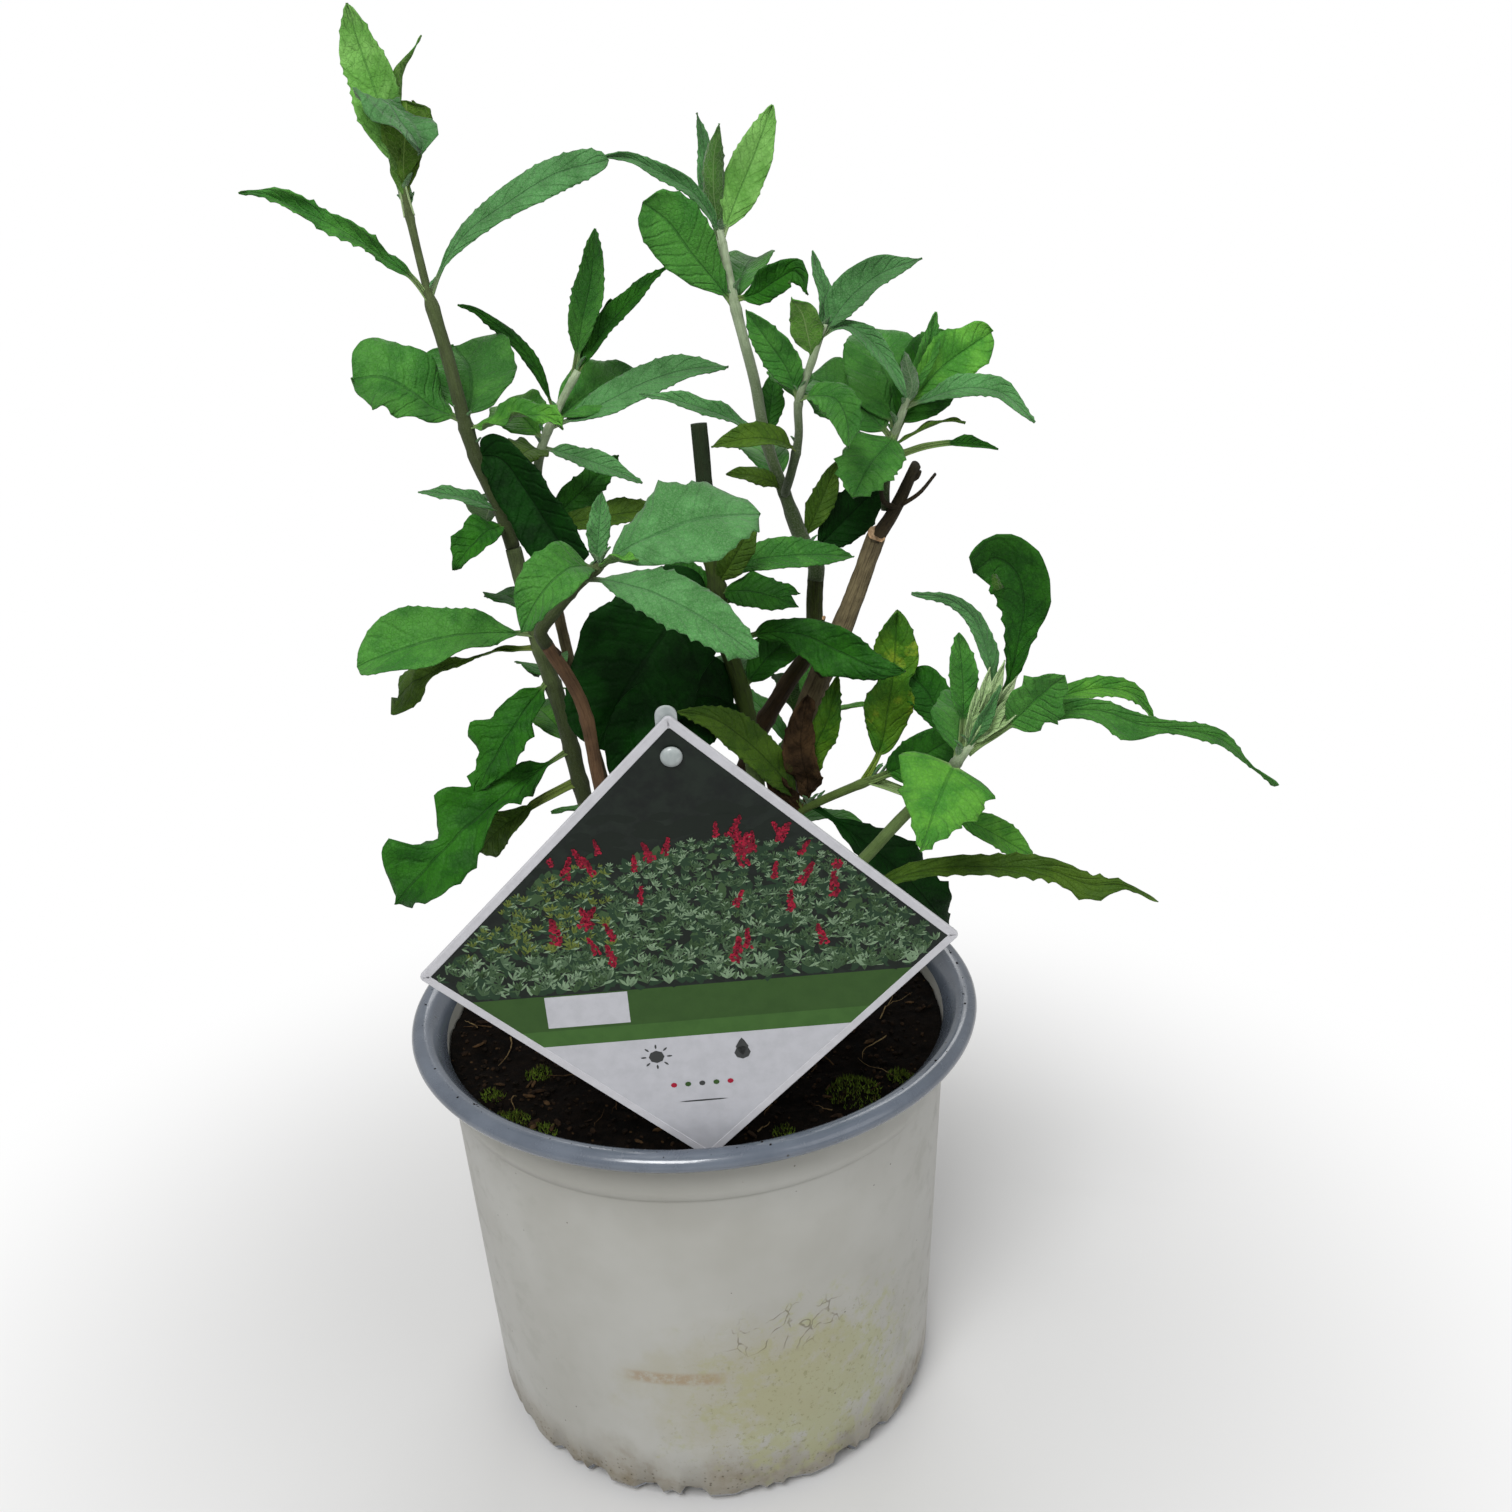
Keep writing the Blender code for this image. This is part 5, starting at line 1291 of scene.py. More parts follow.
@dataclass
class NurseryPot:
    """The round pot with its rolled lip, off-white outside and blue-grey at the lip and inside.

    Sizes are in metres, as in the solids.
    """
    effects: Effects
    base_radius: float = 0.0700
    foot_radius: float = 0.0775
    step_radius: float = 0.0838
    neck_radius: float = 0.0853
    lip_inner: float = 0.0875
    lip_outer: float = 0.0950
    height: float = 0.1495
    step_height: float = 0.127
    wall: float = 0.0016
    floor: float = 0.0030
    steps: int = 336
    notches: int = 14
    notch_height: float = 0.014
    notch_depth: float = 0.0022
    bump_depth: float = 0.0028
    lip_points: int = 12

    def outer_radius(self, height: float) -> float:
        """The outer wall's radius at a height under the step."""
        share = height / self.step_height
        return self.foot_radius + (self.step_radius - self.foot_radius) * share

    def profile(self) -> list[tuple[float, float, int]]:
        """Radius, height and material slot from the lip down the outside, and back up inside."""
        middle = (self.lip_inner + self.lip_outer) / 2
        half = (self.lip_outer - self.lip_inner) / 2
        points = []
        for index in range(self.lip_points + 1):
            angle = radians(150 - 200 * index / self.lip_points)
            points.append((middle + half * cos(angle), self.height - half * 0.8
                           + half * 0.8 * sin(angle), 1))
        under = self.height - 0.0062
        points += [(self.lip_outer - 0.0013, under + 0.0011, 1), (self.lip_outer - 0.0030, under + 0.0006, 1),
                   (self.neck_radius + 0.0016, under + 0.0008, 1), (self.neck_radius + 0.0005, under, 0),
                   (self.neck_radius, under - 0.0015, 0),
                   (self.neck_radius - 0.0001, self.step_height + 0.0040, 0),
                   (self.neck_radius - 0.0003, self.step_height + 0.0010, 0),
                   (self.step_radius + 0.0004, self.step_height + 0.0002, 0),
                   (self.step_radius, self.step_height - 0.0006, 0)]
        for index in range(1, 9):
            height = self.step_height + (0.0095 - self.step_height) * index / 8
            points.append((self.outer_radius(height), height, 0))
        corner = self.foot_radius - self.base_radius
        for index in range(1, 8):
            angle = radians(-90 * index / 7)
            points.append((self.base_radius + corner * cos(angle), corner + corner * sin(angle), 0))
        points += [(self.base_radius - 0.004, 0.0, 0), (self.base_radius - 0.006, 0.0006, 0),
                   (0.02, 0.0006, 0), (0.0, 0.0006, 0)]
        inside = [(0.0, self.floor), (self.base_radius - self.wall, self.floor),
                  (self.outer_radius(0.0075) - self.wall, 0.0075),
                  (self.step_radius - self.wall, self.step_height),
                  (self.neck_radius - self.wall, self.step_height + 0.0020),
                  (self.neck_radius - self.wall + 0.0002, under - 0.0005),
                  (self.lip_inner - 0.0009, self.height - 0.0030)]
        return points + [(radius, height, 1) for radius, height in inside]

    def notched(self, point: Vector) -> Vector:
        """Presses the shallow notches and the bumps between them into the pot's foot."""
        fade = max(0.0, 1.0 - point.z / self.notch_height)
        rim = Vector((point.x, point.y, 0))
        if fade <= 0 or rim.length < self.base_radius:
            return point
        turn = atan2(point.y, point.x) / ROUND * self.notches
        apart = abs((turn - 0.5) % 1.0 - 0.5)
        dent = self.notch_depth * exp(-(apart / 0.06) ** 2) * fade
        low = min(1.0, max(0.0, (0.0085 - point.z) / 0.0025))
        step = min(1.0, max(0.0, (0.13 - abs(apart - 0.22)) / 0.03))
        dent += self.bump_depth * low * step * (1 if round(turn) % 3 else 0.4)
        rise = self.bump_depth * exp(-((apart - 0.16) / 0.05) ** 2) * max(0.0, 1.0 - point.z / 0.006)
        return point - rim.normalized() * dent + Vector((0, 0, rise))

    def blot(self, desk: Desk, centre: Triple, spread: Triple, break_up: float,
             scale: float) -> Socket:
        """A soft-edged mask round a place on the pot."""
        return desk.group(self.effects.patch, centre=centre, spread=spread, break_up=break_up,
                          scale=scale)[0]

    def smear(self, desk: Desk, place: Socket) -> Socket:
        """The mask of the rubbed band of soil on the front, under the label's tip."""
        x, y, z = desk.split(place)
        rubbed = desk.noise(place, 420.0, 4.0, 0.7)
        beside = desk.plus(desk.math("ABSOLUTE", desk.plus(x, 0.0125)), desk.times(rubbed, 0.004))
        above = desk.plus(desk.math("ABSOLUTE", desk.math("SUBTRACT", z, 0.0562)),
                          desk.times(rubbed, 0.0018))
        mask = desk.times(desk.range(beside, 0.0205, 0.0130), desk.range(above, 0.0042, 0.0022))
        mask = desk.times(mask, desk.math("LESS_THAN", y, 0.0))
        return desk.times(mask, desk.range(rubbed, 0.35, 0.62, 0.15, 0.7))

    def scratches(self, desk: Desk, place: Socket) -> Socket:
        """The mask of the fine broken lines on the front."""
        wander = desk.push(place, 60.0, 3.0, (0.022, 0.022, 0.03))
        lines = desk.range(desk.cells(wander, 95.0, "DISTANCE_TO_EDGE"), 0.035, 0.008)
        torn = self.blot(desk, (0.022, -0.078, 0.0725), (28.0, 28.0, 75.0), 0.8, 80.0)
        broken = desk.range(desk.noise(place, 140.0, 3.0), 0.42, 0.55)
        return desk.times(desk.times(lines, torn), broken)

    def wall_finish(self) -> Material:
        """Off-white plastic, stained by soil, algae and handling, with painted shade under the lip and a
        darker line painted along the step.
        """
        desk = Surface("pot_outside", 0.42)
        effects = self.effects
        place = desk.place()
        z = desk.split(place)[2]
        cloud = desk.group(effects.mottle, scale=14.0, low=0.3, high=0.7)[0]
        grime = desk.group(effects.mottle, scale=120.0, low=0.45, high=0.75)[0]
        ragged = desk.plus(z, desk.math("MULTIPLY_ADD", desk.noise(place, 55.0, 4.0), 0.03, -0.015))
        soiled = desk.times(desk.range(ragged, 0.028, 0.006),
                            desk.math("MULTIPLY_ADD", grime, 0.35, 0.6))
        specks = desk.group(effects.speckle, scale=700.0, size=0.34, share=0.4)[0]
        band = desk.times(desk.range(ragged, 0.020, 0.008), specks)
        edge = desk.math("ABSOLUTE", desk.math("SUBTRACT", z, 0.1268))
        fleck = desk.range(desk.noise(place, 620.0, 4.0, 0.7), 0.56, 0.66)
        zone = self.blot(desk, (0.036, -0.068, 0.034), (16.0, 16.0, 20.0), 0.8, 90.0)
        lines = self.scratches(desk, place)
        colour = desk.mix(cloud, linear(174, 174, 169), linear(161, 160, 153))
        stains_and_painted_shade = (
            # painted shade under the lip: the wall darkens from the step up to the lip
            (desk.range(z, 0.126, 0.141, 0.0, 0.4), (134, 134, 127), 1.0),
            (soiled, (116, 104, 80), 1.0),
            (band, (76, 66, 46), 0.85),
            # a darker line painted along the step
            (desk.range(edge, 0.0009, 0.0002, 0.0, 0.22), (116, 114, 104), 1.0),
            (self.blot(desk, (0.031, -0.072, 0.042), (23.0, 23.0, 27.0), 1.5, 150.0), (154, 156, 106), 0.6),
            (self.blot(desk, (0.012, -0.078, 0.052), (20.0, 20.0, 34.0), 0.9, 70.0), (154, 148, 116), 0.35),
            (desk.times(fleck, zone), (110, 112, 62), 0.5),
            (self.smear(desk, place), (146, 122, 88), 1.0),
            (lines, (92, 84, 60), 0.65),
            (desk.group(effects.speckle, scale=190.0, size=0.07, share=0.3)[0], (70, 62, 50), 0.75))
        for mask, ink, amount in stains_and_painted_shade:
            colour = desk.tint(colour, mask, ink, amount)
        desk.dress({"Roughness": desk.range(grime, 0.0, 1.0, 0.38, 0.6)})
        dirt = desk.plus(desk.times(lines, 0.6), desk.times(band, 0.5))
        height = desk.plus(desk.times(desk.noise(place, 900.0, 3.0), 0.1), dirt)
        return desk.done(colour, height, 0.5, 0.0003)

    def lip_finish(self) -> Material:
        """Blue-grey glossy plastic with a little dust."""
        desk = Surface("pot_lip", 0.25)
        cloud = desk.group(self.effects.mottle, scale=60.0, low=0.35, high=0.7)[0]
        dust = desk.group(self.effects.speckle, scale=320.0, size=0.16, share=0.16)[0]
        scuffs = desk.noise(desk.place(), 240.0, 6.0, 0.7)
        colour = desk.mix(cloud, linear(98, 106, 118), linear(86, 94, 106))
        colour = desk.tint(colour, dust, (44, 40, 34), 0.85)
        desk.dress({"Coat Weight": 0.5, "Coat Roughness": 0.12,
                    "Roughness": desk.range(scuffs, 0.3, 0.7, 0.14, 0.3)})
        return desk.done(colour, desk.noise(desk.place(), 700.0, 2.0), 0.06, 0.0003)

    def build(self) -> None:
        """Spins the profile into the pot and presses its notches."""
        shape = bmesh.new()
        profile = self.profile()
        points = [shape.verts.new((radius, 0, height)) for radius, height, _ in profile]
        edges = [shape.edges.new(pair) for pair in zip(points, points[1:] + points[:1])
                 if (pair[0].co - pair[1].co).length > 1e-6 and not (pair[0].co.x == 0 and pair[1].co.x == 0)]
        bmesh.ops.spin(shape, geom=points + edges, cent=(0, 0, 0), axis=(0, 0, 1), angle=ROUND,
                       steps=self.steps, use_merge=True)
        bmesh.ops.remove_doubles(shape, verts=shape.verts, dist=1e-6)
        bmesh.ops.recalc_face_normals(shape, faces=shape.faces)
        for face in shape.faces:
            centre = face.calc_center_median()
            radial = hypot(centre.x, centre.y)
            inner = radial < self.outer_radius(min(centre.z, self.step_height)) - self.wall * 0.5
            upper = centre.z > self.height - 0.0056
            face.material_index = 1 if upper or (inner and centre.z > 0.002) else 0
        for vertex in shape.verts:
            vertex.co = self.notched(vertex.co.copy())
        piece = mesh_piece("pot_shell", shape, (self.wall_finish(), self.lip_finish()))
        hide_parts("pot")


@dataclass(frozen=True)
class LitterFinish:
    """A dull finish that goes between two colours in patches of a scale."""
    first: Triple
    second: Triple
    scale: float

    def make(self, name: str) -> Material:
        """The finish under a name."""
        desk = Surface(name, 0.9, 0.0, 0.08)
        cloud = desk.noise(desk.place(), self.scale, 4.0, 0.65)
        colour = desk.mix(desk.range(cloud, 0.38, 0.64), linear(*self.first), linear(*self.second))
        return desk.done(colour, cloud, 0.6, 0.0006)


CRUMB_FINISHES: dict[str, LitterFinish] = {
    "peat_crumb": LitterFinish((11, 8, 5), (26, 18, 11), 500.0),
    "peat_brown": LitterFinish((42, 30, 19), (26, 18, 12), 500.0),
    "bark_chip": LitterFinish((70, 52, 33), (40, 29, 18), 300.0),
}
FIBRE_FINISHES: dict[str, LitterFinish] = {
    "root_fibre": LitterFinish((72, 54, 34), (44, 32, 20), 300.0),
    "pale_fibre": LitterFinish((112, 96, 66), (80, 64, 42), 300.0),
}
MOSS_FINISHES: dict[str, LitterFinish] = {
    "moss_green": LitterFinish((92, 112, 36), (54, 74, 20), 260.0),
    "moss_dark": LitterFinish((46, 62, 18), (66, 64, 26), 260.0),
}


@dataclass(frozen=True)
class Litter:
    """One kind of crumb that lies on the soil.

    Args:
        count: how many there are.
        sizes: smallest and largest length, in mm.
        slim: smallest and largest width, as a share of the length.
        flat: height, as a share of the length.
        lift: height of its middle over the soil, as a share of the length and in mm.
        slots: places of its finishes, one drawn for each crumb.
    """
    count: int
    sizes: tuple[float, float]
    slim: tuple[float, float]
    flat: float
    lift: tuple[float, float]
    slots: tuple[int, ...]


@dataclass(frozen=True)
class Tuft:
    """A tuft of moss: where it is and its radius in metres, and its rise in mm."""
    x: float
    y: float
    spread: float
    mound: float


@dataclass
class PottingSoil:
    """Dark peat with crumbs, bark bits, fibres and moss, a little under the lip.

    Args:
        effects: the shared effects.
        radius: radius of the soil's top, in metres.
        top: mean height of its top, in metres.
        bottom: height where its plain body ends, in metres.
        taper: how much narrower the body is at its bottom, as a share.
        lip_middle: radius of the middle of the pot's lip, in metres.
        lip_top: height of the lip, in metres.
        lip_crumbs: how many crumbs lie on the lip.
        fibre_count: how many fibres lie on the soil.
        leaflets: how many leaflets a tuft of 8.5 mm has.
        seed: seed of all that lies on the soil.
        litter: crumbs of peat, and chips of bark.
        tufts: tufts of moss.
    """
    effects: Effects
    radius: float = 0.0832
    top: float = 0.1388
    bottom: float = 0.12
    taper: float = 0.976
    lip_middle: float = 0.0912
    lip_top: float = 0.1495
    lip_crumbs: int = 120
    fibre_count: int = 60
    leaflets: int = 520
    seed: int = 5
    litter: tuple[Litter, ...] = (
        Litter(1500, (0.7, 2.6), (0.6, 1), 0.7, (0.15, 0.0), (0, 0, 0, 1)),
        Litter(110, (2.5, 7.0), (0.25, 0.5), 0.22, (0.0, 0.5), (1, 2, 2)))
    tufts: tuple[Tuft, ...] = (
        Tuft(0.0480, -0.0520, 0.0088, 4.6), Tuft(0.0640, -0.0440, 0.0042, 1.6),
        Tuft(-0.0580, -0.0560, 0.0062, 1.2), Tuft(-0.0650, -0.0420, 0.0040, 0.6),
        Tuft(-0.0480, -0.0640, 0.0050, 0.7), Tuft(-0.0350, 0.0600, 0.0080, 1.0),
        Tuft(0.0560, 0.0380, 0.0070, 1.6), Tuft(-0.0700, 0.0150, 0.0060, 1.0),
        Tuft(0.0250, -0.0700, 0.0035, 0.5), Tuft(-0.0520, -0.0280, 0.0045, 0.6))

    def level(self, x: float, y: float) -> float:
        """The lumpy surface's height at a place."""
        low = noise.noise(Vector((x * 45, y * 45, 0.4)))
        mid = noise.noise(Vector((x * 150, y * 150, 2.1)))
        fine = noise.noise(Vector((x * 420, y * 420, 5.3)))
        return self.top + (low * 2.2 + mid * 1.3 + fine * 0.6) * MM

    def finish(self) -> Material:
        """Peat: near black with brown crumbs and grit."""
        desk = Surface("peat", 0.95, 0.0, 0.06)
        rough = desk.noise(desk.place(), 320.0, 6.0, 0.72)
        grit = desk.group(self.effects.speckle, scale=520.0, size=0.3, share=0.12)[0]
        damp = desk.group(self.effects.mottle, scale=40.0, low=0.4, high=0.65)[0]
        colour = desk.mix(desk.range(rough, 0.4, 0.68), linear(5, 4, 3), linear(20, 14, 9))
        colour = desk.tint(colour, grit, (84, 64, 40), 0.5)
        colour = desk.tint(colour, damp, (16, 11, 8), 0.55)
        return desk.done(colour, rough, 0.9, 0.002)

    def surface(self) -> None:
        """The soil's lumpy top on a plain body that fills the pot's upper part."""
        shape = bmesh.new()
        bmesh.ops.create_grid(shape, x_segments=150, y_segments=150, size=1.0)
        for vertex in shape.verts:
            x, y = vertex.co.x, vertex.co.y
            scale = max(abs(x), abs(y)) / max(hypot(x, y), 1e-9) * self.radius
            vertex.co = Vector((x * scale, y * scale, 0))
            vertex.co.z = self.level(vertex.co.x, vertex.co.y)
        edge = [item for item in shape.edges if item.is_boundary]
        skirt = bmesh.ops.extrude_edge_only(shape, edges=edge)["geom"]
        for item in skirt:
            if isinstance(item, bmesh.types.BMVert):
                item.co.x *= self.taper
                item.co.y *= self.taper
                item.co.z = self.bottom
        bmesh.ops.holes_fill(shape, edges=[item for item in shape.edges if item.is_boundary])
        bmesh.ops.recalc_face_normals(shape, faces=shape.faces)
        piece = mesh_piece("soil_surface", shape, (self.finish(),))
        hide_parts("soil")

    @staticmethod
    def lump(shape: BMesh, place: Vector, size: Vector, turn: float, slot: int,
             draw: Random) -> None:
        """Adds a rough lump: a small round solid pushed about at random."""
        made = bmesh.ops.create_icosphere(shape, subdivisions=1, radius=0.5)["verts"]
        spin = Matrix.Rotation(turn, 3, "Z") @ Matrix.Rotation(draw.uniform(-0.5, 0.5), 3, "X")
        for vertex in made:
            swell = draw.uniform(0.72, 1.2)
            point = Vector((vertex.co.x * size.x, vertex.co.y * size.y, vertex.co.z * size.z)) * swell
            vertex.co = place + spin @ point
        for face in faces_of(made):
            face.material_index = slot

    def somewhere(self, draw: Random, inner: float = 0.0, outer: float = 0.97) -> tuple[float, float]:
        """A random place on the soil, between two shares of its radius."""
        radius = self.radius * sqrt(draw.uniform(inner ** 2, outer ** 2))
        turn = draw.uniform(0, ROUND)
        return radius * cos(turn), radius * sin(turn)

    def crumbs(self, draw: Random) -> None:
        """Crumbs of peat, chips of bark, and a few crumbs on the lip."""
        shape = bmesh.new()
        for kind in self.litter:
            for _ in range(kind.count):
                x, y = self.somewhere(draw)
                size = draw.uniform(*kind.sizes) * MM
                lift = size * kind.lift[0] + kind.lift[1] * MM
                self.lump(shape, Vector((x, y, self.level(x, y) + lift)),
                          Vector((size, size * draw.uniform(*kind.slim), size * kind.flat)),
                          draw.uniform(0, ROUND), draw.choice(kind.slots), draw)
        for _ in range(self.lip_crumbs):
            turn = draw.uniform(0, ROUND)
            radius = self.lip_middle + draw.uniform(-1, 1) ** 3 * 0.0035
            height = self.lip_top - ((radius - self.lip_middle) / 0.0038) ** 2 * 0.0028
            size = draw.choice((0.25, 0.35, 0.5, 0.9)) * MM
            self.lump(shape, Vector((radius * cos(turn), radius * sin(turn), height)),
                      Vector((size, size * draw.uniform(0.5, 1.4), size * 0.5)), turn, 0, draw)
        finishes = [finish.make(name) for name, finish in CRUMB_FINISHES.items()]
        piece = mesh_piece("soil_crumbs", shape, finishes, smooth=False)
        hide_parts("soil")

    def fibres(self, draw: Random) -> None:
        """Fine roots and stalks that lie on the soil."""
        shape = bmesh.new()
        shape.loops.layers.uv.new("UVMap")
        for _ in range(self.fibre_count):
            x, y = self.somewhere(draw, 0.1, 0.93)
            heading = draw.uniform(0, ROUND)
            length = draw.uniform(5, 18) * MM
            points = []
            for _ in range(7):
                heading += draw.uniform(-0.45, 0.45)
                points.append(Vector((x, y, self.level(x, y) + 0.8 * MM + draw.uniform(0, 0.8) * MM)))
                x += cos(heading) * length / 6
                y += sin(heading) * length / 6
                if hypot(x, y) > self.radius * 0.96:
                    break
            if len(points) < 4:
                continue
            thick = draw.uniform(0.12, 0.34) * MM
            wrap_tube(shape, points, lambda turn, share, thick=thick: thick * (1.05 - share * 0.7), 5,
                      draw.choice((0, 0, 1)))
        finishes = [finish.make(name) for name, finish in FIBRE_FINISHES.items()]
        piece = mesh_piece("soil_fibres", shape, finishes)
        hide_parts("soil")

    def leaflet(self, shape: BMesh, tuft: Tuft, draw: Random) -> None:
        """Adds one pointed leaflet somewhere in a tuft, unless that is off the soil."""
        reach = tuft.spread * sqrt(draw.random())
        turn = draw.uniform(0, ROUND)
        x, y = tuft.x + reach * cos(turn), tuft.y + reach * sin(turn)
        if hypot(x, y) > self.radius * 0.985:
            return
        rise = tuft.mound * MM * (1 - (reach / tuft.spread) ** 2)
        foot = Vector((x, y, self.level(x, y) + rise - 0.3 * MM))
        lean = Vector((draw.uniform(-0.6, 0.6), draw.uniform(-0.6, 0.6), 1)).normalized()
        tall = draw.uniform(0.7, 1.9) * MM
        side = lean.cross(Vector((draw.uniform(-1, 1), draw.uniform(-1, 1), 0.1))).normalized()
        depth = lean.cross(side)
        wide = tall * 0.2
        made = bmesh.ops.create_cone(shape, cap_ends=False, segments=3, radius1=1.0, radius2=0.0,
                                     depth=1.0)["verts"]
        for vertex in made:
            across = (side * vertex.co.x + depth * vertex.co.y * 0.5) * wide
            vertex.co = foot + lean * ((vertex.co.z + 0.5) * tall) + across
        for face in faces_of(made):
            face.material_index = 0 if draw.random() < 0.6 else 1

    def moss(self, draw: Random) -> None:
        """Tufts of moss: many short pointed leaflets on low mounds."""
        shape = bmesh.new()
        for tuft in self.tufts:
            for _ in range(int(self.leaflets * (tuft.spread / 0.0085) ** 1.6)):
                self.leaflet(shape, tuft, draw)
        finishes = [finish.make(name) for name, finish in MOSS_FINISHES.items()]
        piece = mesh_piece("soil_moss", shape, finishes, smooth=False)
        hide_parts("soil")

    def build(self) -> None:
        """Builds the soil and all that lies on it."""
        draw = Random(self.seed)
        self.surface()
        self.crumbs(draw)
        self.fibres(draw)
        self.moss(draw)


class Ink(IntEnum):
    """The colours printed on the label, in the order of its material slots."""
    DUSK = 0
    LEAF = 1
    LEAF_DARK = 2
    LEAF_PALE = 3
    BAND = 4
    WHITE = 5
    STRIPE = 6
    SHADOW = 7
    RED = 8
    GREY = 9
    YELLOW_GREEN = 10
    RED_DARK = 11
    SAGE = 12
    MOSS = 13


@dataclass(frozen=True)
class InkFinish:
    """An ink or a plain plastic, uneven towards a second colour or a slightly darker one."""
    colour: Triple
    roughness: float = 0.35
    mottle: float = 1.0
    second: Optional[Triple] = None

    def make(self, name: str, effects: Effects) -> Material:
        """The finish under a name."""
        desk = Surface(name, self.roughness, 0.0, 0.2)
        cloud = desk.group(effects.mottle, scale=220.0, low=0.3, high=0.75)[0]
        other = self.second or tuple(value * 0.95 for value in self.colour)
        tone = desk.mix(desk.times(cloud, self.mottle), linear(*self.colour), linear(*other))
        return desk.done(tone, desk.noise(desk.place(), 1500.0, 2.0), 0.05, 0.0002)


INK_FINISHES: dict[Ink, InkFinish] = {
    Ink.DUSK: InkFinish((28, 36, 30), 0.35, 0.7, (12, 14, 16)),
    Ink.LEAF: InkFinish((64, 88, 58), 0.35, 0.6, (44, 68, 44)),
    Ink.LEAF_DARK: InkFinish((34, 58, 38), 0.35, 0.5, (22, 40, 26)),
    Ink.LEAF_PALE: InkFinish((122, 146, 116), 0.35, 0.5, (84, 110, 82)),
    Ink.BAND: InkFinish((50, 80, 34), 0.3, 0.4, (38, 66, 26)),
    Ink.WHITE: InkFinish((184, 185, 191), 0.3),
    Ink.STRIPE: InkFinish((60, 96, 42), 0.3, 0.4, (44, 78, 30)),
    Ink.SHADOW: InkFinish((20, 28, 22)),
    Ink.RED: InkFinish((158, 22, 50), 0.35, 0.6, (122, 16, 40)),
    Ink.GREY: InkFinish((58, 60, 60), 0.3),
    Ink.YELLOW_GREEN: InkFinish((98, 112, 48), 0.35, 0.5, (74, 90, 40)),
    Ink.RED_DARK: InkFinish((112, 16, 38)),
    Ink.SAGE: InkFinish((82, 106, 78), 0.35, 0.5, (62, 86, 60)),
    Ink.MOSS: InkFinish((58, 82, 50), 0.35, 0.5, (42, 64, 38)),
}


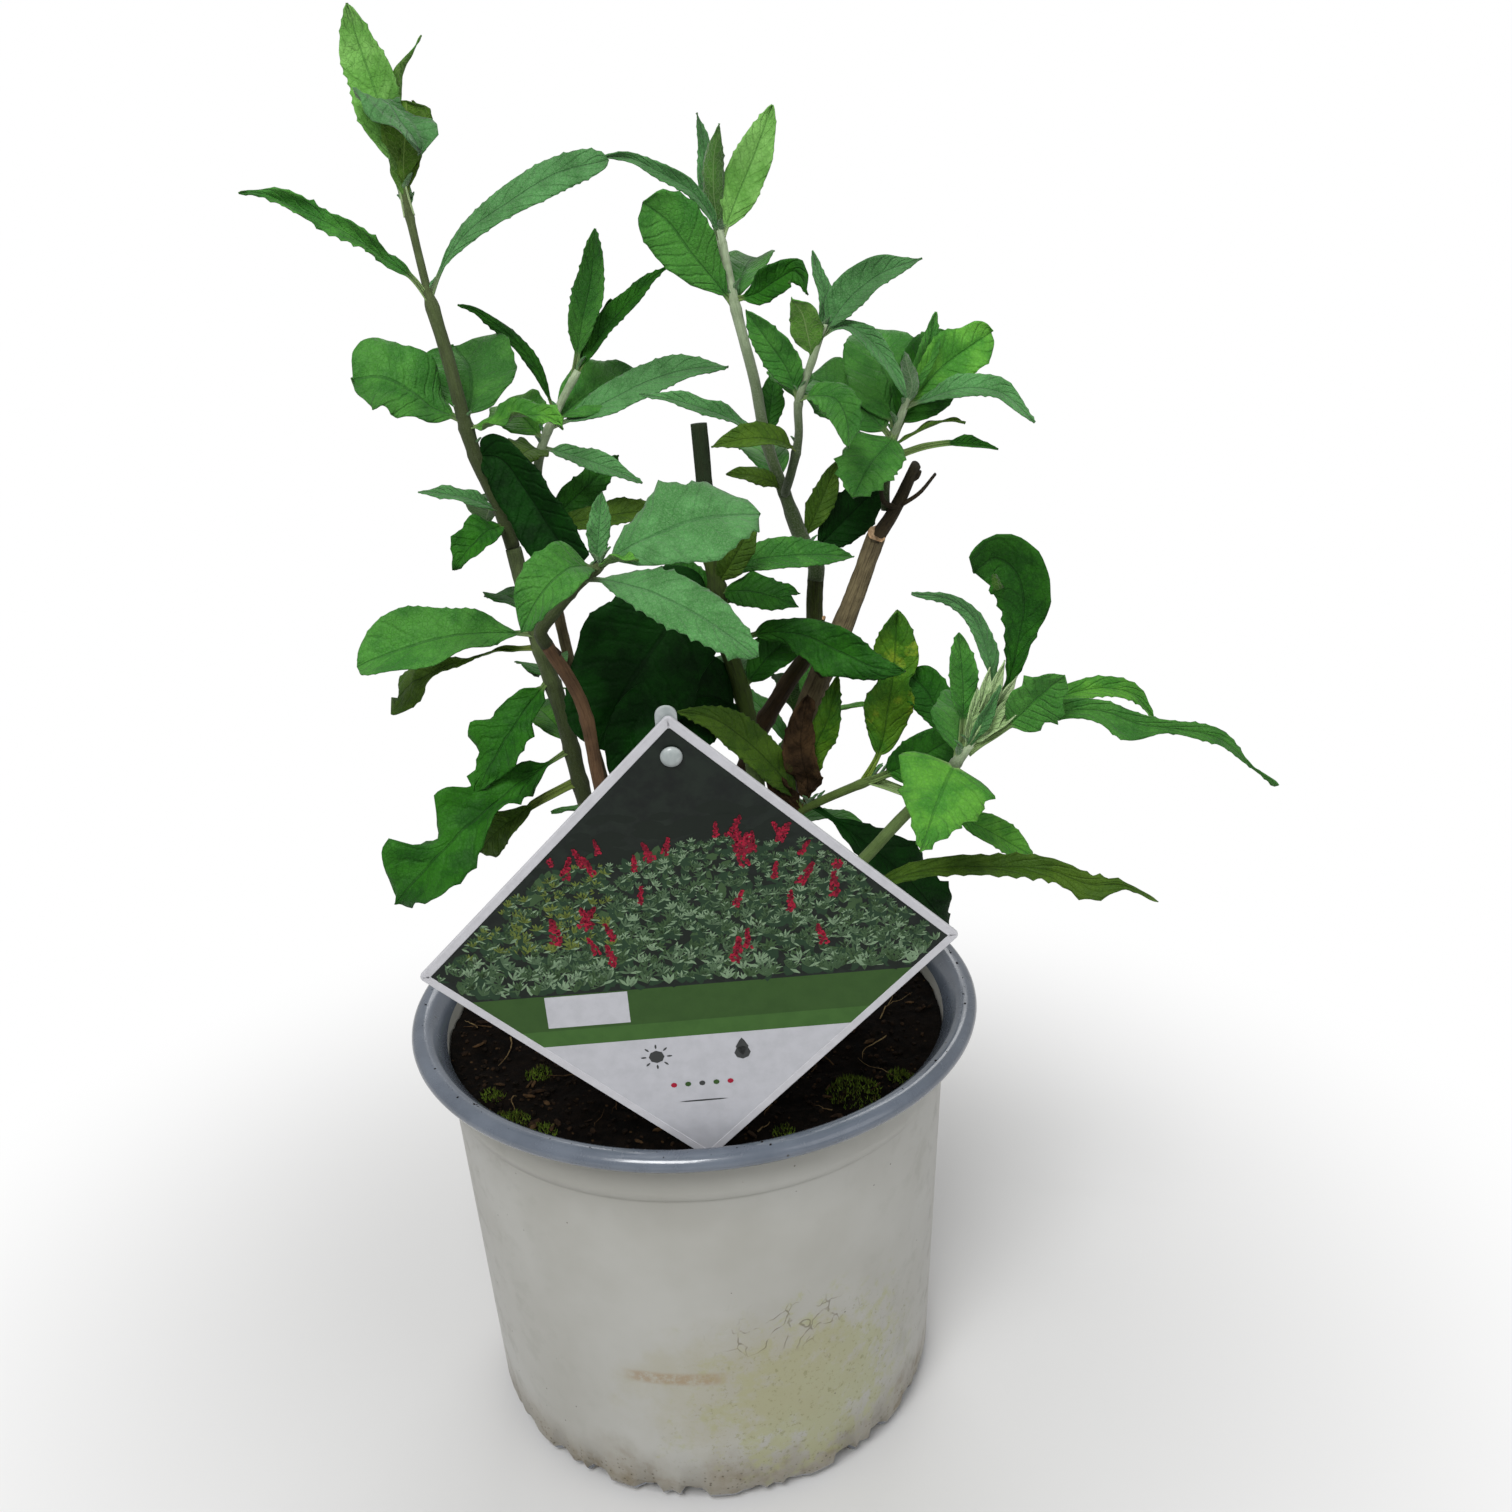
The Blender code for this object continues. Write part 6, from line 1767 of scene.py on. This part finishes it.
@dataclass
class PlantLabel:
    """The square label on its corner, with a plain printed design, on its stake.

    Sizes are in metres and angles in degrees, as in the solids. The bands are given by their lower
    and upper edge, and the white block by its left, right, lower and upper edge.
    """
    effects: Effects
    side: float = 0.1032
    thickness: float = 0.0012
    corner: float = 0.0015
    centre: Triple = (0.001, -0.091, 0.2125)
    lean: float = 7.5
    roll: float = -1.2
    frame: float = 0.0023
    field_depth: float = 0.00012
    ink_step: float = 0.000012
    stake_gap: float = 0.0003
    stake_width: float = 0.0055
    stake_thickness: float = 0.0010
    stake_above: float = 0.0016
    stake_depth: float = 0.0398
    stake_shift: float = -0.0005
    rivet_radius: float = 0.0028
    rivet_below: float = 0.0114
    rivet_lift: float = 0.00055
    band: tuple[float, float] = (-0.0216, -0.0096)
    stripe: tuple[float, float] = (-0.0270, -0.0216)
    block: tuple[float, float, float, float] = (-0.0405, -0.0180, -0.0206, -0.0100)
    bed_bottom: float = -0.0094
    strokes: int = 70
    tangle: int = 420
    clusters: int = 1250
    spikes: int = 36
    florets: int = 30
    seed: int = 11

    def place(self, x: float, y: float, z: float) -> Vector:
        """A point by its place on the upright label, turned and leant as the label is."""
        c, s = cos(radians(self.roll)), sin(radians(self.roll))
        x, z = x * c + z * s, z * c - x * s
        c, s = cos(radians(self.lean)), sin(radians(self.lean))
        y, z = y * c - z * s, z * c + y * s
        return Vector(self.centre) + Vector((x, y, z))

    def settle(self, shape: BMesh) -> None:
        """Moves a mesh made on the upright label to its real place."""
        for vertex in shape.verts:
            vertex.co = self.place(*vertex.co)

    @staticmethod
    def slab(size: Triple) -> BMesh:
        """A block of a size round the origin."""
        shape = bmesh.new()
        bmesh.ops.create_cube(shape, size=1.0)
        bmesh.ops.scale(shape, vec=size, verts=shape.verts)
        return shape

    @staticmethod
    def through(shape: BMesh, thickness: float) -> list[bmesh.types.BMEdge]:
        """The edges that run from the front to the back."""
        return [edge for edge in shape.edges
                if abs(edge.verts[0].co.y - edge.verts[1].co.y) > thickness / 2]

    @staticmethod
    def rounded(shape: BMesh, edges: Sequence[bmesh.types.BMEdge], offset: float,
                segments: int) -> None:
        """Rounds edges by a width."""
        bmesh.ops.bevel(shape, geom=edges, offset=offset, segments=segments, profile=0.5,
                        affect="EDGES", material=-1)

    def softened(self, shape: BMesh, offset: float) -> None:
        """Rounds every sharp edge a little."""
        sharp = [edge for edge in shape.edges if edge.is_manifold and edge.calc_face_angle(0) > 1.2]
        self.rounded(shape, sharp, offset, 2)

    def plate(self) -> None:
        """The plate with its pale frame and a shallow printed field."""
        shape = self.slab((self.side, self.thickness, self.side))
        self.rounded(shape, self.through(shape, self.thickness), self.corner, 5)
        front = [face for face in shape.faces if face.normal.y < -0.9]
        rim = bmesh.ops.inset_region(shape, faces=front, thickness=self.frame, depth=0.0)["faces"]
        printed = [face for face in shape.faces if face.normal.y < -0.9 and face not in rim]
        bmesh.ops.inset_region(shape, faces=printed, thickness=0.0003, depth=-self.field_depth)
        self.softened(shape, 0.00025)
        quarter = Matrix.Rotation(radians(45), 3, "Y")
        bmesh.ops.rotate(shape, cent=(0, 0, 0), matrix=quarter, verts=shape.verts)
        self.settle(shape)
        finish = InkFinish((192, 192, 197), 0.3).make("label_frame", self.effects)
        piece = mesh_piece("label_card", shape, (finish,), smooth=False)
        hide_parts("label_plate")

    def reach(self, margin: float = 0.0) -> float:
        """How far the printed field's corners are from its middle, less a margin at its sides."""
        return (self.side / 2 - self.frame - margin) * sqrt(2)

    def inside(self, x: float, z: float, margin: float) -> bool:
        """Whether a place lies in the printed field, clear of its edge by a margin."""
        return abs(x) + abs(z) < self.reach(margin)

    def strip(self, shape: BMesh, low: float, high: float, layer: float, ink: Ink) -> None:
        """A straight band across the diamond between two heights."""
        reach = self.reach(0.0001)
        levels = sorted({low, high, *([0.0] if low < 0 < high else [])})
        rows = []
        for z in levels:
            half = max(reach - abs(z), 0.0)
            rows.append([shape.verts.new((-half, layer, z)), shape.verts.new((half, layer, z))])
        for below, above in zip(rows, rows[1:]):
            corners = [below[0], below[1], above[1], above[0]]
            if (above[0].co - above[1].co).length < 1e-6:
                corners = [below[0], below[1], above[1]]
            elif (below[0].co - below[1].co).length < 1e-6:
                corners = [below[0], above[1], above[0]]
            shape.faces.new(corners).material_index = ink

    @staticmethod
    def petal(shape: BMesh, x: float, z: float, turn: float, length: float, width: float,
              layer: float, ink: Ink, blunt: float = 0.8) -> None:
        """A flat lens-shaped ink mark."""
        c, s = cos(turn), sin(turn)
        corners = []
        for index in range(8):
            u, v = cos(ROUND * index / 8), sin(ROUND * index / 8)
            px, pz = u * length / 2, v * (1 - abs(u) ** 2.0 * blunt) * width / 2
            corners.append(shape.verts.new((x + px * c - pz * s, layer, z + px * s + pz * c)))
        shape.faces.new(corners).material_index = ink

    def bands(self, shape: BMesh, front: float) -> None:
        """The dusky upper part, the band, the stripe, the white part and the white block."""
        step = self.ink_step
        tip = self.reach() - 0.0005
        for low, high, ink in ((self.band[1], tip, Ink.DUSK), (*self.band, Ink.BAND),
                               (*self.stripe, Ink.STRIPE), (-tip, self.stripe[0], Ink.WHITE)):
            self.strip(shape, low, high, front - step, ink)
        left, right, low, high = self.block
        block = [shape.verts.new((x, front - 2 * step, z))
                 for x, z in ((left, low), (right, low), (right, high), (left, high))]
        shape.faces.new(block).material_index = Ink.WHITE

    def undergrowth(self, shape: BMesh, layer: float, draw: Random) -> float:
        """Dim leaves far behind and a dark tangle under the bed; hands back the layer above."""
        for index in range(self.strokes):
            x, z = draw.uniform(-0.034, 0.034), draw.uniform(0.030, 0.046)
            size = draw.uniform(0.005, 0.011)
            if self.inside(x, z, size * 0.45):
                self.petal(shape, x, z, draw.uniform(-0.2, 0.2), size, size * 0.4, layer - index * 4e-8,
                           Ink.SHADOW, 0.5)
        layer -= 3 * self.ink_step
        for index in range(self.tangle):
            z = 0.033 - 0.042 * index / self.tangle
            across = self.reach() - abs(z)
            x = draw.uniform(-across, across)
            size = draw.uniform(0.0045, 0.0070)
            if self.inside(x, z, size * 0.4) and z > -0.0075:
                self.petal(shape, x, z, draw.uniform(0, pi), size, size * 0.5, layer - index * 4e-8,
                           draw.choice((Ink.LEAF_DARK, Ink.LEAF_DARK, Ink.SHADOW, Ink.MOSS)), 0.6)
        return layer - 2 * self.ink_step

    def foliage(self, shape: BMesh, layer: float, draw: Random) -> None:
        """Clusters of pointed leaves, larger towards the band, each over the ones before."""
        for index in range(self.clusters):
            z = 0.0385 - 0.0480 * (index / self.clusters) ** 0.9 + draw.uniform(-0.0015, 0.0015)
            across = self.reach() - abs(z)
            x = draw.uniform(-across, across)
            near = min(1.0, max(0.0, 1 - (z + 0.01) / 0.048))
            length = draw.uniform(0.0013, 0.0020) * (0.75 + 1.2 * near)
            if z > 0.0355 + 0.0022 * sin(x * 170) + min(0.0, x) * 0.25:
                continue
            heading = draw.uniform(0.8, 2.3)
            greens = (Ink.YELLOW_GREEN, Ink.YELLOW_GREEN, Ink.MOSS, Ink.LEAF)
            if x > -0.02 or z < 0.004:
                greens = (Ink.LEAF, Ink.SAGE, Ink.MOSS, Ink.LEAF, Ink.LEAF_PALE)
            green = draw.choice(greens)
            if self.inside(x, z, length * 0.8) and z - length * 0.6 > self.bed_bottom:
                self.petal(shape, x, z, heading, length * 1.5, length * 1.2, layer,
                           draw.choice((Ink.LEAF_DARK, Ink.SHADOW, Ink.LEAF_DARK)), 0.4)
            for blade in range(draw.choice((4, 5, 6))):
                turn = heading + (blade - 2.5) * draw.uniform(0.35, 0.75)
                px, pz = x + cos(turn) * length * 0.5, z + sin(turn) * length * 0.5
                if self.inside(px, pz, length * 0.5) and pz - length * 0.5 > self.bed_bottom:
                    self.petal(shape, px, pz, turn, length, length * draw.choice((0.2, 0.26, 0.32)),
                               layer - 3e-8, green if blade else Ink.LEAF_PALE)
            layer -= 6e-8

    def flowers(self, shape: BMesh, layer: float, draw: Random) -> None:
        """Red flower spikes, each a cone of small florets."""
        for _ in range(self.spikes):
            x, z = draw.uniform(-0.038, 0.040), 0.037 - 0.040 * draw.random() ** 1.6
            lean = draw.uniform(-0.6, 0.6) + pi / 2
            size = draw.uniform(0.0052, 0.0080) * (1.05 - z * 6)
            for floret in range(self.florets):
                share = floret / (self.florets - 1)
                wide = draw.uniform(-1, 1) * size * 0.19 * (1.1 - share) ** 0.7
                px = x + cos(lean) * size * share - sin(lean) * wide
                pz = z + sin(lean) * size * share + cos(lean) * wide
                if self.inside(px, pz, 0.0012) and pz > -0.0085:
                    self.petal(shape, px, pz, draw.uniform(0, 3), size * 0.17, size * 0.13, layer,
                               draw.choice((Ink.RED, Ink.RED, Ink.RED_DARK, Ink.RED_DARK)), 0.4)
                    layer -= 1e-8

    def pictograms(self, shape: BMesh, layer: float) -> None:
        """A sun, a drop and a row of dots on the white part, over a thin line."""
        for ray in range(8):
            turn = ROUND * ray / 8
            self.petal(shape, -0.012 + 0.0036 * cos(turn), -0.0335 + 0.0036 * sin(turn), turn,
                       0.0016, 0.0006, layer, Ink.GREY, 0.1)
        self.petal(shape, -0.012, -0.0335, 0.0, 0.0044, 0.0044, layer, Ink.GREY, 0.0)
        self.petal(shape, 0.012, -0.0343, 0.0, 0.0046, 0.0046, layer, Ink.GREY, 0.0)
        self.petal(shape, 0.012, -0.0322, pi / 2, 0.0062, 0.0036, layer, Ink.GREY, 0.9)
        for dot, ink in enumerate((Ink.RED, Ink.BAND, Ink.GREY, Ink.BAND, Ink.RED)):
            self.petal(shape, -0.008 + 0.004 * dot, -0.0442, 0.0, 0.0018, 0.0018, layer, ink, 0.0)
        self.petal(shape, 0.0, -0.0505, 0.0, 0.014, 0.0006, layer, Ink.GREY, 0.0)

    def design(self) -> None:
        """A generic printed design: bands, a bed of leaves with red flower spikes, and pictograms."""
        draw = Random(self.seed)
        shape = bmesh.new()
        front = -self.thickness / 2 + self.field_depth
        self.bands(shape, front)
        layer = self.undergrowth(shape, front - 2 * self.ink_step, draw)
        self.foliage(shape, layer, draw)
        self.flowers(shape, front - 16 * self.ink_step, draw)
        self.pictograms(shape, front - 5 * self.ink_step)
        shape.normal_update()
        for face in shape.faces:
            if face.normal.y > 0:
                face.normal_flip()
        self.settle(shape)
        inks = [INK_FINISHES[ink].make(f"ink_{ink.name.lower()}", self.effects) for ink in Ink]
        piece = mesh_piece("label_print", shape, inks, smooth=False)
        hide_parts("label_plate")

    def milky(self) -> Material:
        """Milky plastic that takes a little light in."""
        desk = Surface("milky_plastic", 0.3)
        cloud = desk.group(self.effects.mottle, scale=300.0, low=0.3, high=0.7)[0]
        colour = desk.mix(cloud, linear(170, 176, 176), linear(146, 154, 154))
        return desk.done(colour, desk.noise(desk.place(), 500.0, 2.0), 0.08, 0.0003)

    def stake(self, milky: Material) -> None:
        """The milky stake behind the plate, round at its top."""
        half = self.side / sqrt(2)
        top, bottom = half + self.stake_above, -half - self.stake_depth
        shape = self.slab((self.stake_width, self.stake_thickness, top - bottom))
        ends = [edge for edge in self.through(shape, self.stake_thickness) if edge.verts[0].co.z > 0]
        self.rounded(shape, ends, self.stake_width * 0.48, 8)
        self.softened(shape, 0.0002)
        behind = self.thickness / 2 + self.stake_gap + self.stake_thickness / 2
        bmesh.ops.translate(shape, vec=(self.stake_shift, behind, (top + bottom) / 2), verts=shape.verts)
        self.settle(shape)
        piece = mesh_piece("label_stick", shape, (milky,), smooth=False)
        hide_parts("label_stake")

    def rivet(self, milky: Material) -> None:
        """The round rivet that holds the plate to the stake."""
        shape = bmesh.new()
        profile = [(0.0, -0.0009), (0.0010, -0.00086), (0.0017, -0.0007), (0.0023, -0.0004), (0.0027, 0.0),
                   (self.rivet_radius, 0.0003), (self.rivet_radius, 0.0005), (0.0, 0.0005)]
        points = [shape.verts.new((radius, depth, 0)) for radius, depth in profile]
        edges = [shape.edges.new(pair) for pair in zip(points, points[1:])]
        bmesh.ops.spin(shape, geom=points + edges, cent=(0, 0, 0), axis=(0, 1, 0), angle=ROUND, steps=36,
                       use_merge=True)
        bmesh.ops.remove_doubles(shape, verts=shape.verts, dist=1e-6)
        bmesh.ops.recalc_face_normals(shape, faces=shape.faces)
        front = -(self.thickness / 2 + 0.0003 + self.rivet_lift)
        height = self.side / sqrt(2) - self.rivet_below
        bmesh.ops.translate(shape, vec=(0, front, height), verts=shape.verts)
        self.settle(shape)
        piece = mesh_piece("label_stud", shape, (milky,))
        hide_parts("label_rivet")

    def build(self) -> None:
        """Builds the plate, its print, the stake and the rivet."""
        self.plate()
        self.design()
        milky = self.milky()
        self.stake(milky)
        self.rivet(milky)


@dataclass(frozen=True)
class Lamp:
    """A square soft lamp that looks at the middle of the plant."""
    name: str
    place: Triple
    size: float
    power: float
    aim: Triple = (0, 0, 0.22)

    def hang(self) -> None:
        """Puts the lamp in the scene."""
        data = bpy.data.lights.new(self.name, "AREA")
        data.size = self.size
        data.energy = self.power
        lamp = bpy.data.objects.new(self.name, data)
        bpy.context.scene.collection.objects.link(lamp)
        lamp.location = self.place
        ahead = Vector(self.aim) - Vector(self.place)
        lamp.rotation_euler = ahead.to_track_quat("-Z", "Y").to_euler()


@dataclass
class Studio:
    """A plain pale floor, soft light and the photograph's camera."""
    eye: Triple = (0.008, -0.448, 0.408)
    pitch: float = 21.3
    yaw: float = 2.1
    roll: float = -2.6
    focal_pixels: float = 1500.0
    frame_pixels: float = 1512.0
    sensor: float = 36.0
    floor_size: float = 6.0
    fade: tuple[float, float] = (0.10, 0.38)
    sky: float = 0.42
    lamps: tuple[Lamp, ...] = (
        Lamp("key", (-0.35, -1.05, 1.5), 0.7, 22.5),
        Lamp("fill", (1.1, -0.8, 0.9), 1.0, 3.0),
        Lamp("back", (0.2, 1.2, 1.4), 0.9, 7.5))

    def camera(self) -> None:
        """The camera at the photograph's angle."""
        data = bpy.data.cameras.new("camera")
        data.sensor_width = self.sensor
        data.lens = self.focal_pixels / self.frame_pixels * self.sensor
        data.clip_start, data.clip_end = 0.01, 20.0
        eye = bpy.data.objects.new("camera", data)
        bpy.context.scene.collection.objects.link(eye)
        pitch, yaw, roll = (radians(value) for value in (self.pitch, self.yaw, self.roll))
        ahead = Vector((sin(yaw) * cos(pitch), cos(yaw) * cos(pitch), -sin(pitch)))
        right = Vector((cos(yaw), -sin(yaw), 0))
        up = right.cross(ahead)
        across = right * cos(roll) + up * sin(roll)
        above = up * cos(roll) - right * sin(roll)
        turn = Matrix((across, above, -ahead)).transposed()
        eye.matrix_world = Matrix.Translation(self.eye) @ turn.to_4x4()
        bpy.context.scene.camera = eye

    def floor(self) -> None:
        """A large pale floor, not part of the object, that fades to white away from the pot."""
        shape = bmesh.new()
        bmesh.ops.create_grid(shape, x_segments=1, y_segments=1, size=self.floor_size)
        mesh = bpy.data.meshes.new("floor")
        shape.to_mesh(mesh)
        shape.free()
        desk = Surface("pale_floor", 0.9, 0.0, 0.0)
        colour = desk.mix(desk.noise(desk.place(), 3.0, 2.0), (0.66, 0.66, 0.66, 1), (0.64, 0.64, 0.64, 1))
        far = desk.vector("LENGTH", desk.place(), output=1)
        fade = desk.times(desk.range(far, *self.fade), desk.put("ShaderNodeLightPath"))
        desk.dress({"Base Color": desk.mix(fade, colour, (0.0, 0.0, 0.0, 1)),
                    "Emission Color": (1.0, 1.0, 1.0, 1), "Emission Strength": fade})
        mesh.materials.append(desk.material)
        ground = bpy.data.objects.new("floor", mesh)
        bpy.context.scene.collection.objects.link(ground)

    def lights(self) -> None:
        """Even daylight with a soft key from above the camera."""
        world = bpy.data.worlds.new("daylight")
        world.use_nodes = True
        tree = world.node_tree
        sky = tree.nodes["Background"]
        sky.inputs["Color"].default_value = (1.0, 0.995, 0.98, 1)
        sky.inputs["Strength"].default_value = self.sky
        backdrop = tree.nodes.new("ShaderNodeBackground")
        backdrop.inputs["Color"].default_value = (1.0, 1.0, 1.0, 1)
        backdrop.inputs["Strength"].default_value = 1.0
        pick = tree.nodes.new("ShaderNodeMixShader")
        seen = tree.nodes.new("ShaderNodeLightPath")
        tree.links.new(seen.outputs["Is Camera Ray"], pick.inputs[0])
        tree.links.new(sky.outputs[0], pick.inputs[1])
        tree.links.new(backdrop.outputs[0], pick.inputs[2])
        tree.links.new(pick.outputs[0], tree.nodes["World Output"].inputs[0])
        bpy.context.scene.world = world
        bpy.context.scene.view_settings.view_transform = "Standard"
        for lamp in self.lamps:
            lamp.hang()

    def build(self) -> None:
        """Sets up camera, floor and lights."""
        self.camera()
        self.floor()
        self.lights()


def main() -> None:
    """Builds everything in order."""
    logging.basicConfig(level=logging.INFO, format="%(name)s %(message)s")
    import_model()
    effects = Effects()
    Studio().build()
    NurseryPot(effects).build()
    PottingSoil(effects).build()
    PlantLabel(effects).build()
    Plant(effects).build()
    bpy.context.view_layer.update()


if __name__ == "__main__":
    main()
